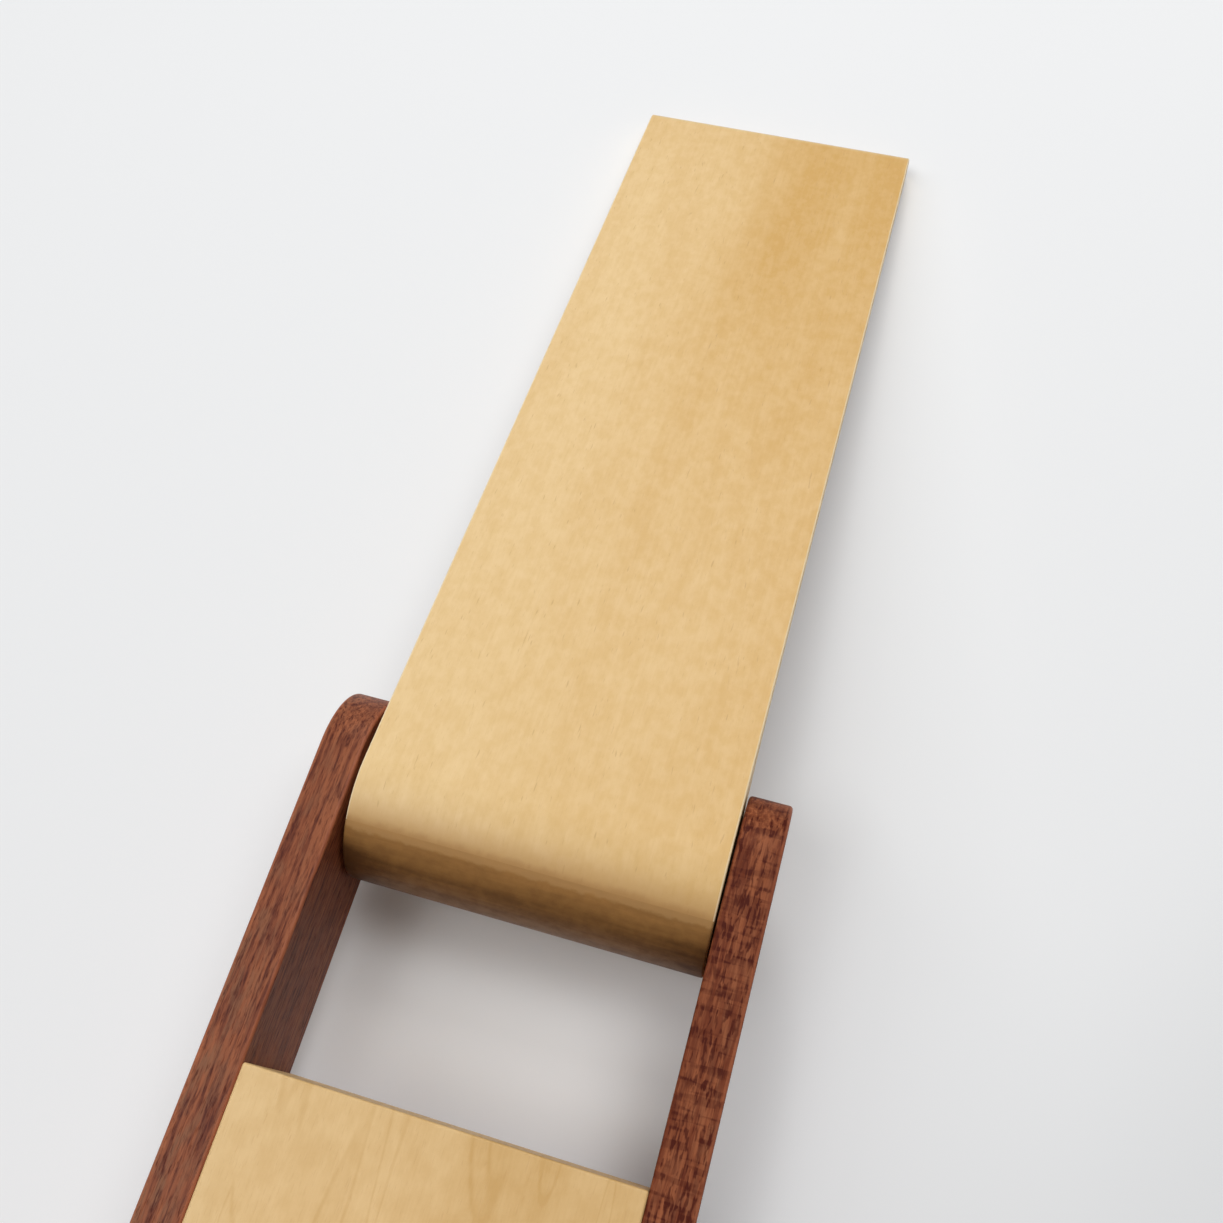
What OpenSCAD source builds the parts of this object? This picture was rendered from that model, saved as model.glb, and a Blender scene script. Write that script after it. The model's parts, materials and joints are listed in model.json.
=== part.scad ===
// Wooden desk tape dispenser with a fold-out tongue.
// Two dark rails carry a pale tongue on a hidden pin at their round tips, a pale
// crossbar behind it, and a roll of wide paper tape in raised cheeks at the back.
// Working frame of the modules: y = 0, z = 0 is the centre of the rails' round
// tips, the tongue points to -Y and the tape roll lies at +Y.

/* [Rails] */
// Thickness of each side rail
rail_t = 6; // [5:0.5:9]
// Height of the straight part of a rail; its tips are half round
rail_h = 20; // [18:0.5:24]
// Radius of the raised cheek round the roll's axle
cheek_r = 16; // [12:0.5:20]
// Radius of the hollow curve from the rail up to the cheek
cheek_fillet = 20; // [12:1:28]

/* [Tongue] */
// Length of the tongue from the pin's axis to its far end
tongue_l = 145; // [120:1:170]
// Radius of the round nose about the pin
nose_r = 12; // [10:0.5:13]
// Thickness of the flat blade
blade_t = 5; // [4:0.25:6]
// Rounding of the far end's two edges
end_r = 2; // [1:0.1:2]
// Radius of the hollow under the blade, behind the nose
root_fillet = 15; // [8:1:22]
// Thickness of the pale face veneer
face_t = 0.6; // [0.4:0.1:0.9]
// How far the veneer wraps past the top of the nose, in degrees
face_wrap = 42; // [20:1:70]
// Gap between the tongue's side and a rail
side_gap = 0.5; // [0.3:0.1:1]

/* [Pivot] */
// Diameter of the hinge pin
pin_d = 5; // [4:0.5:6]
// Distance of the pin behind the centre of the rails' tips
pin_back = 2.6; // [0:0.1:4]
// Distance of the pin below the middle of the rails
pin_drop = 1.6; // [0:0.1:3]
// Depth of the blind hole in each rail that holds the pin
pin_seat = 4.5; // [3:0.25:4.75]
// Outside diameter of the tongue's bushes
bush_d = 8; // [7:0.5:10]
// Length of each bush
bush_l = 10; // [6:1:16]
// Outside diameter of the friction washers
washer_d = 15; // [11:0.5:17]

/* [Crossbars] */
// Front face of the front crossbar, behind the centre of the tips
front_bar_y = 40.7; // [34:0.1:50]
// Front to back size of the front crossbar
front_bar_d = 22; // [18:0.5:28]
// Front to back size of the rear crossbar
rear_bar_d = 16; // [14:0.5:22]
// Diameter of the dowels in the crossbars' ends
dowel_d = 4; // [3:0.5:5]
// Length of each dowel
dowel_l = 14; // [12:1:20]
// Depth of each dowel in its rail
dowel_seat = 4; // [3:0.25:4.75]
// Distance between the two dowels of one joint
dowel_gap = 8; // [7:0.5:9]

/* [Base] */
// Thickness of the base board
base_t = 6.5; // [6:0.25:9]
// Set-back of the base board's front edge from the front crossbar
base_setback = 2.8; // [1:0.1:5]
// How far the board reaches past the rear crossbar
base_tail = 3; // [1:0.5:6]
// Corner radius of the board
base_corner = 4; // [2:0.5:8]
// Diameter of the rubber feet
foot_d = 10; // [8:0.5:11]
// Height of the rubber feet
foot_h = 1.8; // [1.5:0.1:4]
// Thickness of the steel ballast plate
ballast_t = 4; // [2:0.25:4.5]
// Distance of the ballast plate's long sides from the rails' inner faces
ballast_side = 5.8; // [4:0.2:10]
// Distance of the ballast plate's short sides from the board's ends
ballast_end = 19; // [16:0.5:28]
// Length of the base screws
base_screw_l = 14; // [11:0.5:16]
// Shank diameter of the base screws
base_screw_d = 2.6; // [2:0.1:3]

/* [Roll] */
// Outside diameter of the full tape roll
roll_d = 50; // [44:1:54]
// Width of the tape, which sets the width between the rails
tape_w = 48; // [36:1:60]
// Gap between the tape's edge and a rail
tape_side_gap = 1.5; // [0.75:0.25:3]
// Inside diameter of the roll's core
core_bore_d = 25.4; // [22:0.2:30]
// Wall of the card core
core_t = 1.5; // [1:0.1:2.5]
// Diameter of the axle
axle_d = 6; // [5:0.5:8]
// Gap between the roll and the base board
roll_lift = 3; // [2:0.25:6]
// Gap between the front crossbar and the roll
roll_front_gap = 12; // [10:0.5:16]
// Gap between the roll and the rear crossbar
roll_rear_gap = 3.3; // [2:0.1:8]
// Wall of the hub's end bosses round the axle
boss_wall = 2.5; // [1.5:0.25:4]
// Thickness of the loose tape end
leader_t = 0.3; // [0.2:0.05:0.5]

/* [Cutter] */
// Thickness of the saw-tooth blade
cutter_t = 0.8; // [0.5:0.1:1.2]
// Height of the tooth tips above the crossbar
cutter_rise = 4; // [3:0.25:6]
// Height of a tooth
tooth_h = 1.5; // [1:0.1:2.5]
// Distance between teeth
tooth_pitch = 2; // [1.5:0.1:3]
// Thickness of the brass bar that clamps the blade
clamp_t = 1.6; // [1.2:0.1:2.4]
// Height of the clamp bar
clamp_h = 8; // [7:0.5:9]
// Shank diameter of the clamp's screws
cutter_screw_d = 2.5; // [2:0.1:3]

/* [Hidden] */
$fn = 72;
eps = 0.01;

// Clearances
run_fit = 0.05;      // radial, shaft in its running bore
seat_fit = 0.02;     // radial, glued or pressed in
end_fit = 0.2;       // past the end of a pin or dowel in its blind hole
card_fit = 0.1;      // radial, card core on its hub
slot_fit = 0.15;     // each side of the axle in its slot
face_gap = 0.05;     // each side of a friction washer
roll_side_gap = 0.2; // each side of the hub between the cheeks
tip_gap = 0.05;      // under the tongue's far end
pocket_fit = 0.3;    // round the ballast plate
leader_gap = 0.3;    // between the roll and the loose tape end
tooth_gap = 0.05;    // between the tooth tips and the loose tape end

// Widths
inner_x = tape_w / 2 + tape_side_gap;
outer_x = inner_x + rail_t;
tongue_w = 2 * (inner_x - side_gap);

// Heights, from the middle of the rails
top_z = rail_h / 2;
board_top = -top_z;
board_bottom = board_top - base_t;
table_z = board_bottom - foot_h;

// Roll, from the base board up and from the front crossbar back
cutter_y = front_bar_y + front_bar_d;
roll_y = cutter_y + roll_front_gap + roll_d / 2;
roll_z = board_top + roll_lift + roll_d / 2;
rear_bar_y = roll_y + roll_d / 2 + roll_rear_gap;
rail_tail = 1;
rail_span = rear_bar_y + rear_bar_d + rail_tail;
hub_d = core_bore_d - 2 * card_fit;
hub_boss_d = axle_d + 2 * boss_wall;
cheek_curve_y = sqrt(pow(cheek_r + cheek_fillet, 2) - pow(top_z + cheek_fillet - roll_z, 2));

// Tongue, from the pin: u along the blade, v square to it
blade_under = nose_r - blade_t;
root_v = blade_under - root_fillet;
root_bite = 0.05; // how far the hollow's circle cuts into the nose, for a clean edge
root_u = sqrt(pow(nose_r + root_fillet - root_bite, 2) - pow(root_v, 2));
end_u = tongue_l - end_r;
end_low_v = blade_under + end_r;
end_high_v = nose_r - end_r;
tip_drop = -table_z - pin_drop - end_r - tip_gap;
tongue_tilt = atan2(end_low_v, end_u) + asin(tip_drop / norm([end_u, end_low_v]));
pin_clear_d = pin_d + 0.8;
washer_t = side_gap - 2 * face_gap;

// Board outline
board_front = front_bar_y + base_setback;
board_back = rear_bar_y + rear_bar_d + base_tail;
foot_inset = foot_d / 2 + 2.5;
foot_x = inner_x - foot_d / 2 - 0.5;
foot_ys = [board_front + foot_inset, board_back - foot_inset];
base_screw_x = inner_x + rail_t / 2;
base_screw_inset = 16;
base_screw_ys = [board_front + base_screw_inset, board_back - base_screw_inset];
base_head_d = base_screw_d * 2;
base_head_h = base_screw_d * 0.55;
ballast_w = 2 * (inner_x - ballast_side);
ballast_y = board_front + ballast_end;
ballast_l = board_back - ballast_end - ballast_y;

// Cutter
blade_foot = 1;
cutter_foot_z = -clamp_h / 2 - blade_foot;
tooth_count = round(tape_w / tooth_pitch);
tooth_w = tape_w / tooth_count;
tooth_top = top_z + cutter_rise;
cutter_screw_x = tape_w / 3;
cutter_screw_l = 10;
cutter_head_d = cutter_screw_d * 1.9;
cutter_head_h = cutter_screw_d * 0.6;

// Loose end of the tape, a straight run from the roll's top to the teeth
leader_run_r = roll_d / 2 + leader_gap;
leader_z = tooth_top + tooth_gap;
to_roll = [roll_y - cutter_y, roll_z - leader_z];
leader_slope = atan2(to_roll[1], to_roll[0]) + asin(leader_run_r / norm(to_roll));
leader_l = sqrt(pow(norm(to_roll), 2) - pow(leader_run_r, 2));
leader_over = 1.2;

// Origin: middle of the whole length and width, on the table
tongue_reach = end_u * cos(tongue_tilt) + end_high_v * sin(tongue_tilt) + end_r - pin_back;
origin_y = (rail_span + top_z - tongue_reach) / 2;

// Moves a piece from the working frame to the part's own origin
module placed() {
    translate([0, -origin_y, -table_z]) children();
}

// Extrudes an outline drawn in Y and Z along X, from x to x + w
module side_extrude(x, w) {
    translate([x, 0, 0]) rotate([90, 0, 90]) linear_extrude(w) children();
}

// Round bar along X, from x to x + l
module bar_x(x, y, z, d, l) {
    translate([x, y, z]) rotate([0, 90, 0]) cylinder(d = d, h = l);
}

// Square-cornered block from one corner to the other
module block(low, high) {
    translate(low) cube(high - low);
}

// ---- Rails ----

// Straight part of a rail with its two round ends
module rail_outline() {
    for (y = [0, rail_span]) translate([y, 0]) circle(top_z);
    translate([0, -top_z]) square([rail_span, rail_h]);
}

// Cheek that rises from the rail round the axle, down to the middle of the rail
module cheek_outline() {
    difference() {
        polygon([[roll_y - cheek_curve_y, 0], [roll_y - cheek_curve_y, top_z + cheek_fillet],
                 [roll_y, roll_z], [roll_y + cheek_curve_y, top_z + cheek_fillet],
                 [roll_y + cheek_curve_y, 0]]);
        for (side = [-1, 1])
            translate([roll_y + side * cheek_curve_y, top_z + cheek_fillet]) circle(cheek_fillet);
    }
}

// Solid rail from x to x + rail_t, before its holes
module rail_blank(x) {
    side_extrude(x, rail_t) rail_outline();
    side_extrude(x, rail_t) cheek_outline();
    side_extrude(x, rail_t) translate([roll_y, roll_z]) circle(cheek_r);
}

module axle_slot() {
    slot_w = axle_d + 2 * slot_fit;
    translate([roll_y, roll_z]) circle(d = slot_w);
    translate([roll_y - slot_w / 2, roll_z]) square([slot_w, cheek_r + 1]);
}

module dowel_holes(y, side) {
    for (dz = [-dowel_gap / 2, dowel_gap / 2])
        bar_x(side > 0 ? inner_x - eps : -inner_x - dowel_seat, y, dz,
              dowel_d + 2 * seat_fit, dowel_seat + eps);
}

// side is 1 for the rail at +X and -1 for the one at -X
module rail(side) {
    color([0.46, 0.20, 0.13]) placed() difference() {
        rail_blank(side > 0 ? inner_x : -outer_x);
        side_extrude(side > 0 ? inner_x - eps : -outer_x - eps, rail_t + 2 * eps) axle_slot();
        bar_x(side > 0 ? inner_x - eps : -inner_x - pin_seat, pin_back, -pin_drop,
              pin_d + 2 * seat_fit, pin_seat + eps);
        dowel_holes(front_bar_y + front_bar_d / 2, side);
        dowel_holes(rear_bar_y + rear_bar_d / 2, side);
        for (y = base_screw_ys)
            translate([side * base_screw_x, y, board_top - eps])
                cylinder(d = base_screw_d + 2 * seat_fit, h = base_screw_l - base_t + end_fit + eps);
    }
}

module left_rail() { rail(-1); }
module right_rail() { rail(1); }

// ---- Crossbars and their dowels ----

module crossbar(y, depth) {
    color([0.86, 0.70, 0.45]) placed() difference() {
        block([-inner_x, y, -top_z], [inner_x, y + depth, top_z]);
        for (side = [-1, 1], dz = [-dowel_gap / 2, dowel_gap / 2])
            bar_x(side > 0 ? inner_x - dowel_l + dowel_seat - end_fit : -inner_x - eps, y + depth / 2,
                  dz, dowel_d + 2 * seat_fit, dowel_l - dowel_seat + end_fit + eps);
        children();
    }
}

module dowels(y) {
    color([0.80, 0.66, 0.44]) placed()
        for (side = [-1, 1], dz = [-dowel_gap / 2, dowel_gap / 2])
            bar_x(side > 0 ? inner_x + dowel_seat - end_fit - dowel_l
                           : -inner_x - dowel_seat + end_fit, y, dz, dowel_d, dowel_l);
}

module front_crossbar() {
    crossbar(front_bar_y, front_bar_d) cutter_holes(cutter_screw_d + 2 * seat_fit);
}
module rear_crossbar() { crossbar(rear_bar_y, rear_bar_d); }
module front_dowels() { dowels(front_bar_y + front_bar_d / 2); }
module rear_dowels() { dowels(rear_bar_y + rear_bar_d / 2); }

// ---- Tongue ----

// Hollow under the blade where it grows out of the nose, pin at the origin, blade along +X
module root_outline() {
    difference() {
        polygon([[0, 0], [root_u, root_v], [root_u, nose_r - blade_t / 2], [0, nose_r - blade_t / 2]]);
        translate([root_u, root_v]) circle(root_fillet);
    }
}

// Blade with its rounded far end
module blade_outline() {
    translate([0, blade_under]) square([end_u, blade_t]);
    translate([end_u - end_r, end_low_v]) square([2 * end_r, blade_t - 2 * end_r]);
    for (v = [end_low_v, end_high_v]) translate([end_u, v]) circle(end_r);
}

// The veneer: over the nose, along the top and round the far end's top edge
module face_outline() {
    reach = 2 * nose_r;
    intersection() {
        difference() {
            circle(nose_r);
            circle(nose_r - face_t);
        }
        polygon([[0, 0], [0, reach], for (a = [face_wrap / 2, face_wrap]) reach * [-sin(a), cos(a)]]);
    }
    translate([0, nose_r - face_t]) square([end_u, face_t]);
    translate([end_u, end_high_v]) intersection() {
        difference() {
            circle(end_r);
            circle(end_r - face_t);
        }
        square(end_r);
    }
}

// Turns the tongue's own axes to its place at rest, with its far end on the table
module tongue_placed() {
    placed() translate([0, pin_back, -pin_drop]) rotate([tongue_tilt, 0, 0]) children();
}

// Extrudes an outline of the tongue across its width; the blade then points to -Y
module across() {
    side_extrude(-tongue_w / 2, tongue_w) mirror([1, 0]) children();
}

module tongue_core() {
    color([0.66, 0.48, 0.27]) tongue_placed() difference() {
        union() {
            across() circle(nose_r);
            across() blade_outline();
            across() root_outline();
        }
        across() face_outline();
        bar_x(-tongue_w / 2 - eps, 0, 0, pin_clear_d, tongue_w + 2 * eps);
        for (x = [-tongue_w / 2 - eps, tongue_w / 2 - bush_l])
            bar_x(x, 0, 0, bush_d + 2 * seat_fit, bush_l + eps);
    }
}

module tongue_face() {
    color([0.84, 0.67, 0.41]) tongue_placed() across() face_outline();
}

// ---- Pivot ----

module pivot_pin() {
    reach = inner_x + pin_seat - end_fit;
    color("silver") placed() bar_x(-reach, pin_back, -pin_drop, pin_d, 2 * reach);
}

// Flat ring on the pin's axis, from x to x + l
module pivot_ring(x, d, bore, l) {
    placed() difference() {
        bar_x(x, pin_back, -pin_drop, d, l);
        bar_x(x - eps, pin_back, -pin_drop, bore, l + 2 * eps);
    }
}

module left_bush() {
    color("goldenrod") pivot_ring(-tongue_w / 2, bush_d, pin_d + 2 * run_fit, bush_l);
}
module right_bush() {
    color("goldenrod") pivot_ring(tongue_w / 2 - bush_l, bush_d, pin_d + 2 * run_fit, bush_l);
}
module left_washer() {
    color("ivory") pivot_ring(-inner_x + face_gap, washer_d, pin_d + 2 * run_fit, washer_t);
}
module right_washer() {
    color("ivory") pivot_ring(inner_x - face_gap - washer_t, washer_d, pin_d + 2 * run_fit, washer_t);
}

// ---- Base ----

module board_outline() {
    width = 2 * outer_x;
    length = board_back - board_front;
    translate([-outer_x + base_corner, board_front]) square([width - 2 * base_corner, length]);
    translate([-outer_x, board_front + base_corner]) square([width, length - 2 * base_corner]);
    for (x = [-1, 1], y = [board_front + base_corner, board_back - base_corner])
        translate([x * (outer_x - base_corner), y]) circle(base_corner);
}

// Countersunk screw, head face at z = 0 and pointing up
module countersunk(d, l, head_d, head_h) {
    cylinder(d1 = head_d, d2 = d, h = head_h);
    cylinder(d = d, h = l);
}

module at_base_screws() {
    for (side = [-1, 1], y = base_screw_ys)
        translate([side * base_screw_x, y, board_bottom]) children();
}

module base_board() {
    color([0.42, 0.18, 0.12]) placed() difference() {
        translate([0, 0, board_bottom]) linear_extrude(base_t) board_outline();
        block([-ballast_w / 2 - pocket_fit, ballast_y - pocket_fit, board_bottom - eps],
              [ballast_w / 2 + pocket_fit, ballast_y + ballast_l + pocket_fit,
               board_bottom + ballast_t + pocket_fit]);
        at_base_screws() translate([0, 0, -eps])
            countersunk(base_screw_d + 2 * seat_fit, base_t + 2 * eps,
                        base_head_d + 2 * seat_fit, base_head_h + seat_fit + eps);
    }
}

module base_screws() {
    recess_w = base_screw_d * 0.3;
    recess_l = base_screw_d * 1.1;
    recess_h = base_head_h * 0.6;
    color("gainsboro") placed() at_base_screws() difference() {
        countersunk(base_screw_d, base_screw_l, base_head_d, base_head_h);
        for (turn = [0, 90])
            rotate([0, 0, turn]) translate([-recess_l / 2, -recess_w / 2, -eps])
                cube([recess_l, recess_w, recess_h + eps]);
    }
}

module ballast_plate() {
    color("dimgray") placed()
        block([-ballast_w / 2, ballast_y, board_bottom + pocket_fit],
              [ballast_w / 2, ballast_y + ballast_l, board_bottom + pocket_fit + ballast_t]);
}

module rubber_feet() {
    color([0.12, 0.12, 0.12]) placed()
        for (x = [-foot_x, foot_x], y = foot_ys)
            translate([x, y, table_z]) cylinder(d = foot_d, h = foot_h);
}

// ---- Cutter ----

module cutter_holes(d) {
    for (x = [-cutter_screw_x, cutter_screw_x])
        translate([x, cutter_y + cutter_t + clamp_t + eps, 0]) rotate([90, 0, 0])
            cylinder(d = d, h = cutter_screw_l + end_fit + eps);
}

module cutter_blade() {
    half = tape_w / 2;
    root_z = tooth_top - tooth_h;
    color("silver") placed() difference() {
        translate([0, cutter_y + cutter_t, 0]) rotate([90, 0, 0]) linear_extrude(cutter_t)
            polygon([[-half, cutter_foot_z], [half, cutter_foot_z], [half, root_z],
                     for (i = [tooth_count - 1 : -1 : 0]) each
                         [[-half + (i + 0.5) * tooth_w, tooth_top], [-half + i * tooth_w, root_z]]]);
        cutter_holes(cutter_screw_d + 2 * card_fit);
    }
}

module cutter_clamp() {
    front = cutter_y + cutter_t;
    color("goldenrod") placed() difference() {
        block([-tape_w / 2, front, -clamp_h / 2], [tape_w / 2, front + clamp_t, clamp_h / 2]);
        cutter_holes(cutter_screw_d + 2 * card_fit);
    }
}

module cutter_screws() {
    head_y = cutter_y + cutter_t + clamp_t;
    slot_w = cutter_screw_d * 0.25;
    color("gainsboro") placed()
        for (x = [-cutter_screw_x, cutter_screw_x])
            translate([x, head_y, 0]) rotate([90, 0, 0]) difference() {
                union() {
                    cylinder(d = cutter_screw_d, h = cutter_screw_l);
                    translate([0, 0, -cutter_head_h]) cylinder(d = cutter_head_d, h = cutter_head_h);
                }
                translate([-cutter_head_d, -slot_w / 2, -cutter_head_h - eps])
                    cube([2 * cutter_head_d, slot_w, cutter_head_h / 2 + eps]);
            }
}

// ---- Roll ----

module spindle_axle() {
    reach = outer_x - 0.5;
    color("silver") placed() bar_x(-reach, roll_y, roll_z, axle_d, 2 * reach);
}

// Ring on the roll's axis, centred across the width
module roll_ring(d, bore, w) {
    difference() {
        bar_x(-w / 2, roll_y, roll_z, d, w);
        bar_x(-w / 2 - eps, roll_y, roll_z, bore, w + 2 * eps);
    }
}

module roll_hub() {
    color([0.82, 0.66, 0.42]) placed() {
        roll_ring(hub_d, axle_d + 2 * run_fit, tape_w);
        for (side = [-1, 1])
            translate([side * (inner_x - roll_side_gap + tape_w / 2) / 2, 0, 0])
                roll_ring(hub_boss_d, axle_d + 2 * run_fit, inner_x - roll_side_gap - tape_w / 2);
    }
}

module tape_core() {
    color([0.72, 0.62, 0.48]) placed() roll_ring(core_bore_d + 2 * core_t, core_bore_d, tape_w);
}

module tape_roll() {
    color([0.76, 0.60, 0.40]) placed() roll_ring(roll_d, core_bore_d + 2 * core_t, tape_w);
}

module tape_leader() {
    color([0.78, 0.62, 0.42]) placed()
        translate([0, cutter_y, leader_z]) rotate([leader_slope, 0, 0])
            block([-tape_w / 2, -leader_over, 0], [tape_w / 2, leader_l, leader_t]);
}

left_rail();
right_rail();
front_crossbar();
rear_crossbar();
front_dowels();
rear_dowels();
tongue_core();
tongue_face();
pivot_pin();
left_bush();
right_bush();
left_washer();
right_washer();
base_board();
base_screws();
ballast_plate();
rubber_feet();
cutter_blade();
cutter_clamp();
cutter_screws();
spindle_axle();
roll_hub();
tape_core();
tape_roll();
tape_leader();
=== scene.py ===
"""Wooden desk tape dispenser with a fold-out tongue: the finished surface of every piece.

Two dark rosewood rails hold a honey maple tongue on a hidden pin, two pale crossbars, a
base board and a roll of kraft paper tape. Sizes are in metres, in the packed model's frame.
"""

import json
import math

import bmesh
import bpy
from bpy.props import FloatProperty, FloatVectorProperty, IntProperty, PointerProperty
from mathutils import Euler, Matrix, Vector


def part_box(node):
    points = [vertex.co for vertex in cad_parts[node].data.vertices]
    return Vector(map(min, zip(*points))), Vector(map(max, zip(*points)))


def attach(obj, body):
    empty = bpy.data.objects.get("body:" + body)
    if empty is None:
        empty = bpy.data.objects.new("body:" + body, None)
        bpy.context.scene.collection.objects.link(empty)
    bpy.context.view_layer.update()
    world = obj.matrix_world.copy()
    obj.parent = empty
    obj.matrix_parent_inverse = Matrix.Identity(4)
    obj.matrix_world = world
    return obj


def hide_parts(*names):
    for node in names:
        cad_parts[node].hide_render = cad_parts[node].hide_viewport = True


bl_info = {
    "name": "Wooden Tape Dispenser",
    "version": (1, 0, 0),
    "blender": (4, 5, 0),
    "location": "View3D > Sidebar > Dispenser",
    "description": "Shapes and finishes a wooden desk tape dispenser round its packed model",
    "category": "Object",
}

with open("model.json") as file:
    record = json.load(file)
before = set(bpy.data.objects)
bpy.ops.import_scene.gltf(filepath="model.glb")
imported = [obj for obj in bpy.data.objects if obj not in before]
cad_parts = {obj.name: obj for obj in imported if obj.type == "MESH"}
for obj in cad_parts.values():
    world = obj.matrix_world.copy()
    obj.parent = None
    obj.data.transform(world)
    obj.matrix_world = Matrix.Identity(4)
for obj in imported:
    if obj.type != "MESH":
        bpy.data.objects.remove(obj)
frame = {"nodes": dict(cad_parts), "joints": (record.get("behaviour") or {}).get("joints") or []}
MM = 0.001
IN_MM = (1 / MM, 1 / MM, 1 / MM)  # the patterns count in millimetres
X_AXIS, Y_AXIS, Z_AXIS = (1, 0, 0), (0, 1, 0), (0, 0, 1)


# ---- What the frame says ----


def tenth(value):
    """A length read off the frame, rounded to a tenth of a millimetre."""
    return round(value, 4)


def joint_place(name):
    """A point on a joint's axis."""
    return Vector(next(j["pos_m"] for j in frame["joints"] if j["name"] == name))


def span(node, axis):
    """Lowest and highest place of a node along X, Y or Z, given as 0, 1 or 2."""
    low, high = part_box(node)
    return low[axis], high[axis]


def size_of(node, axis):
    """Size of a node along X, Y or Z, given as 0, 1 or 2."""
    low, high = span(node, axis)
    return tenth(high - low)


def blade_tilt():
    """Slope of the tongue, from the normal of its veneer's largest upward face."""
    faces = [p for p in frame["nodes"]["tongue_face"].data.polygons if p.normal.z > 0]
    normal = max(faces, key=lambda p: p.area).normal
    return math.atan2(-normal.y, normal.z)


PIN = joint_place("tongue_fold")
SPINDLE = joint_place("roll_spin")
TILT = blade_tilt()
INNER_X = tenth(span("right_rail", 0)[0])
OUTER_X = tenth(span("right_rail", 0)[1])
BAR_LOW, BAR_HIGH = span("front_crossbar", 2)
TAPE_HALF = size_of("tape_roll", 0) / 2
TONGUE_HALF = size_of("tongue_core", 0) / 2
AXLE_D = size_of("spindle_axle", 2)
PIN_D = size_of("pivot_pin", 2)
DOWEL_D = size_of("front_dowels", 1)
SCREW_X = (INNER_X + OUTER_X) / 2
SCREW_HEAD = tenth(span("base_screws", 0)[1]) - SCREW_X
SIDE_PLAY = 0.2 * MM  # the tongue sits this far towards -X on its pin
DOWEL_DEEP = 10 * MM  # a dowel goes this far into a crossbar
FIT = 0.02 * MM  # gap round a dowel, screw or bush in its hole
RUNNING_FIT = 0.05 * MM  # gap between a shaft and a ring that turns on it
PIN_ROOM = 0.4 * MM  # gap round the pin inside the tongue's core
HUB_ROOM = 0.1 * MM  # gap round the hub inside the card core
PAST = 0.2 * MM  # a drill runs this far past the face that it opens
SCREW_CONE = 0.55  # height of a countersunk head, as a share of its radius
HEAD_RATIO = 1.9  # a clamp screw's head is this many times as wide as its shank
CARD_PITCH = 26  # mm that the card's seam runs along X in one turn
CURVE_FACET = 2 * MM  # a narrower side face belongs to a curve and is shaded smooth


def tint(red, green, blue):
    """A screen colour, given as 0 to 255, as the linear values that shaders use."""
    return tuple(((c / 255 + 0.055) / 1.055) ** 2.4 for c in (red, green, blue))


def shaded(tone, share):
    """A colour whose values are all times share."""
    return tuple(value * share for value in tone)


# ---- Settings ----


def length(name, description, default, low=0.0, high=0.2):
    """A length setting in metres."""
    return FloatProperty(
        name=name, description=description, default=default, min=low, max=high,
        unit="LENGTH", subtype="DISTANCE", precision=5,
    )


def number(name, description, default, low=0.0, high=200.0):
    """A plain number setting."""
    return FloatProperty(name=name, description=description, default=default, min=low, max=high)


def colour(name, description, default):
    """A colour setting."""
    return FloatVectorProperty(
        name=name, description=description, default=default, size=3, min=0.0, max=1.0,
        subtype="COLOR",
    )


class RailSettings(bpy.types.PropertyGroup):
    """The two dark side rails"""

    arris: length("Arris", "Rounding of a rail's long edges", 0.5 * MM)
    cheek_fillet: length("Cheek Fillet", "Hollow curve from the rail up to the cheek", 20 * MM)
    slot_play: length("Slot Play", "Gap at each side of the axle in its slot", 0.15 * MM)
    light: colour("Light Wood", "Pale streaks of the rosewood", tint(160, 94, 60))
    deep: colour("Deep Wood", "Body colour of the rosewood", tint(106, 50, 29))
    # Also painted sheen: on the rails the greyer patches grow stronger towards +Y.
    dust_and_sheen: colour("Dusty Wood", "Greyer patches between the streaks", tint(124, 86, 62))
    pore: colour("Pores", "Dark pore lines of the rosewood", tint(72, 22, 9))
    # Painted highlight along the rails' rounded arrises.
    edge: colour("Highlit Edges", "Lit arrises of the rosewood", tint(178, 106, 76))


class PaleSettings(bpy.types.PropertyGroup):
    """The crossbars, dowels and hub"""

    arris: length("Arris", "Rounding of a crossbar's edges", 0.35 * MM)
    light: colour("Light Wood", "Pale wood between the growth lines", tint(224, 191, 138))
    deep: colour("Deep Wood", "Growth lines and shaded grain", tint(198, 158, 96))
    pore: colour("Pores", "Fine dark dashes in the pale wood", tint(176, 130, 76))


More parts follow.
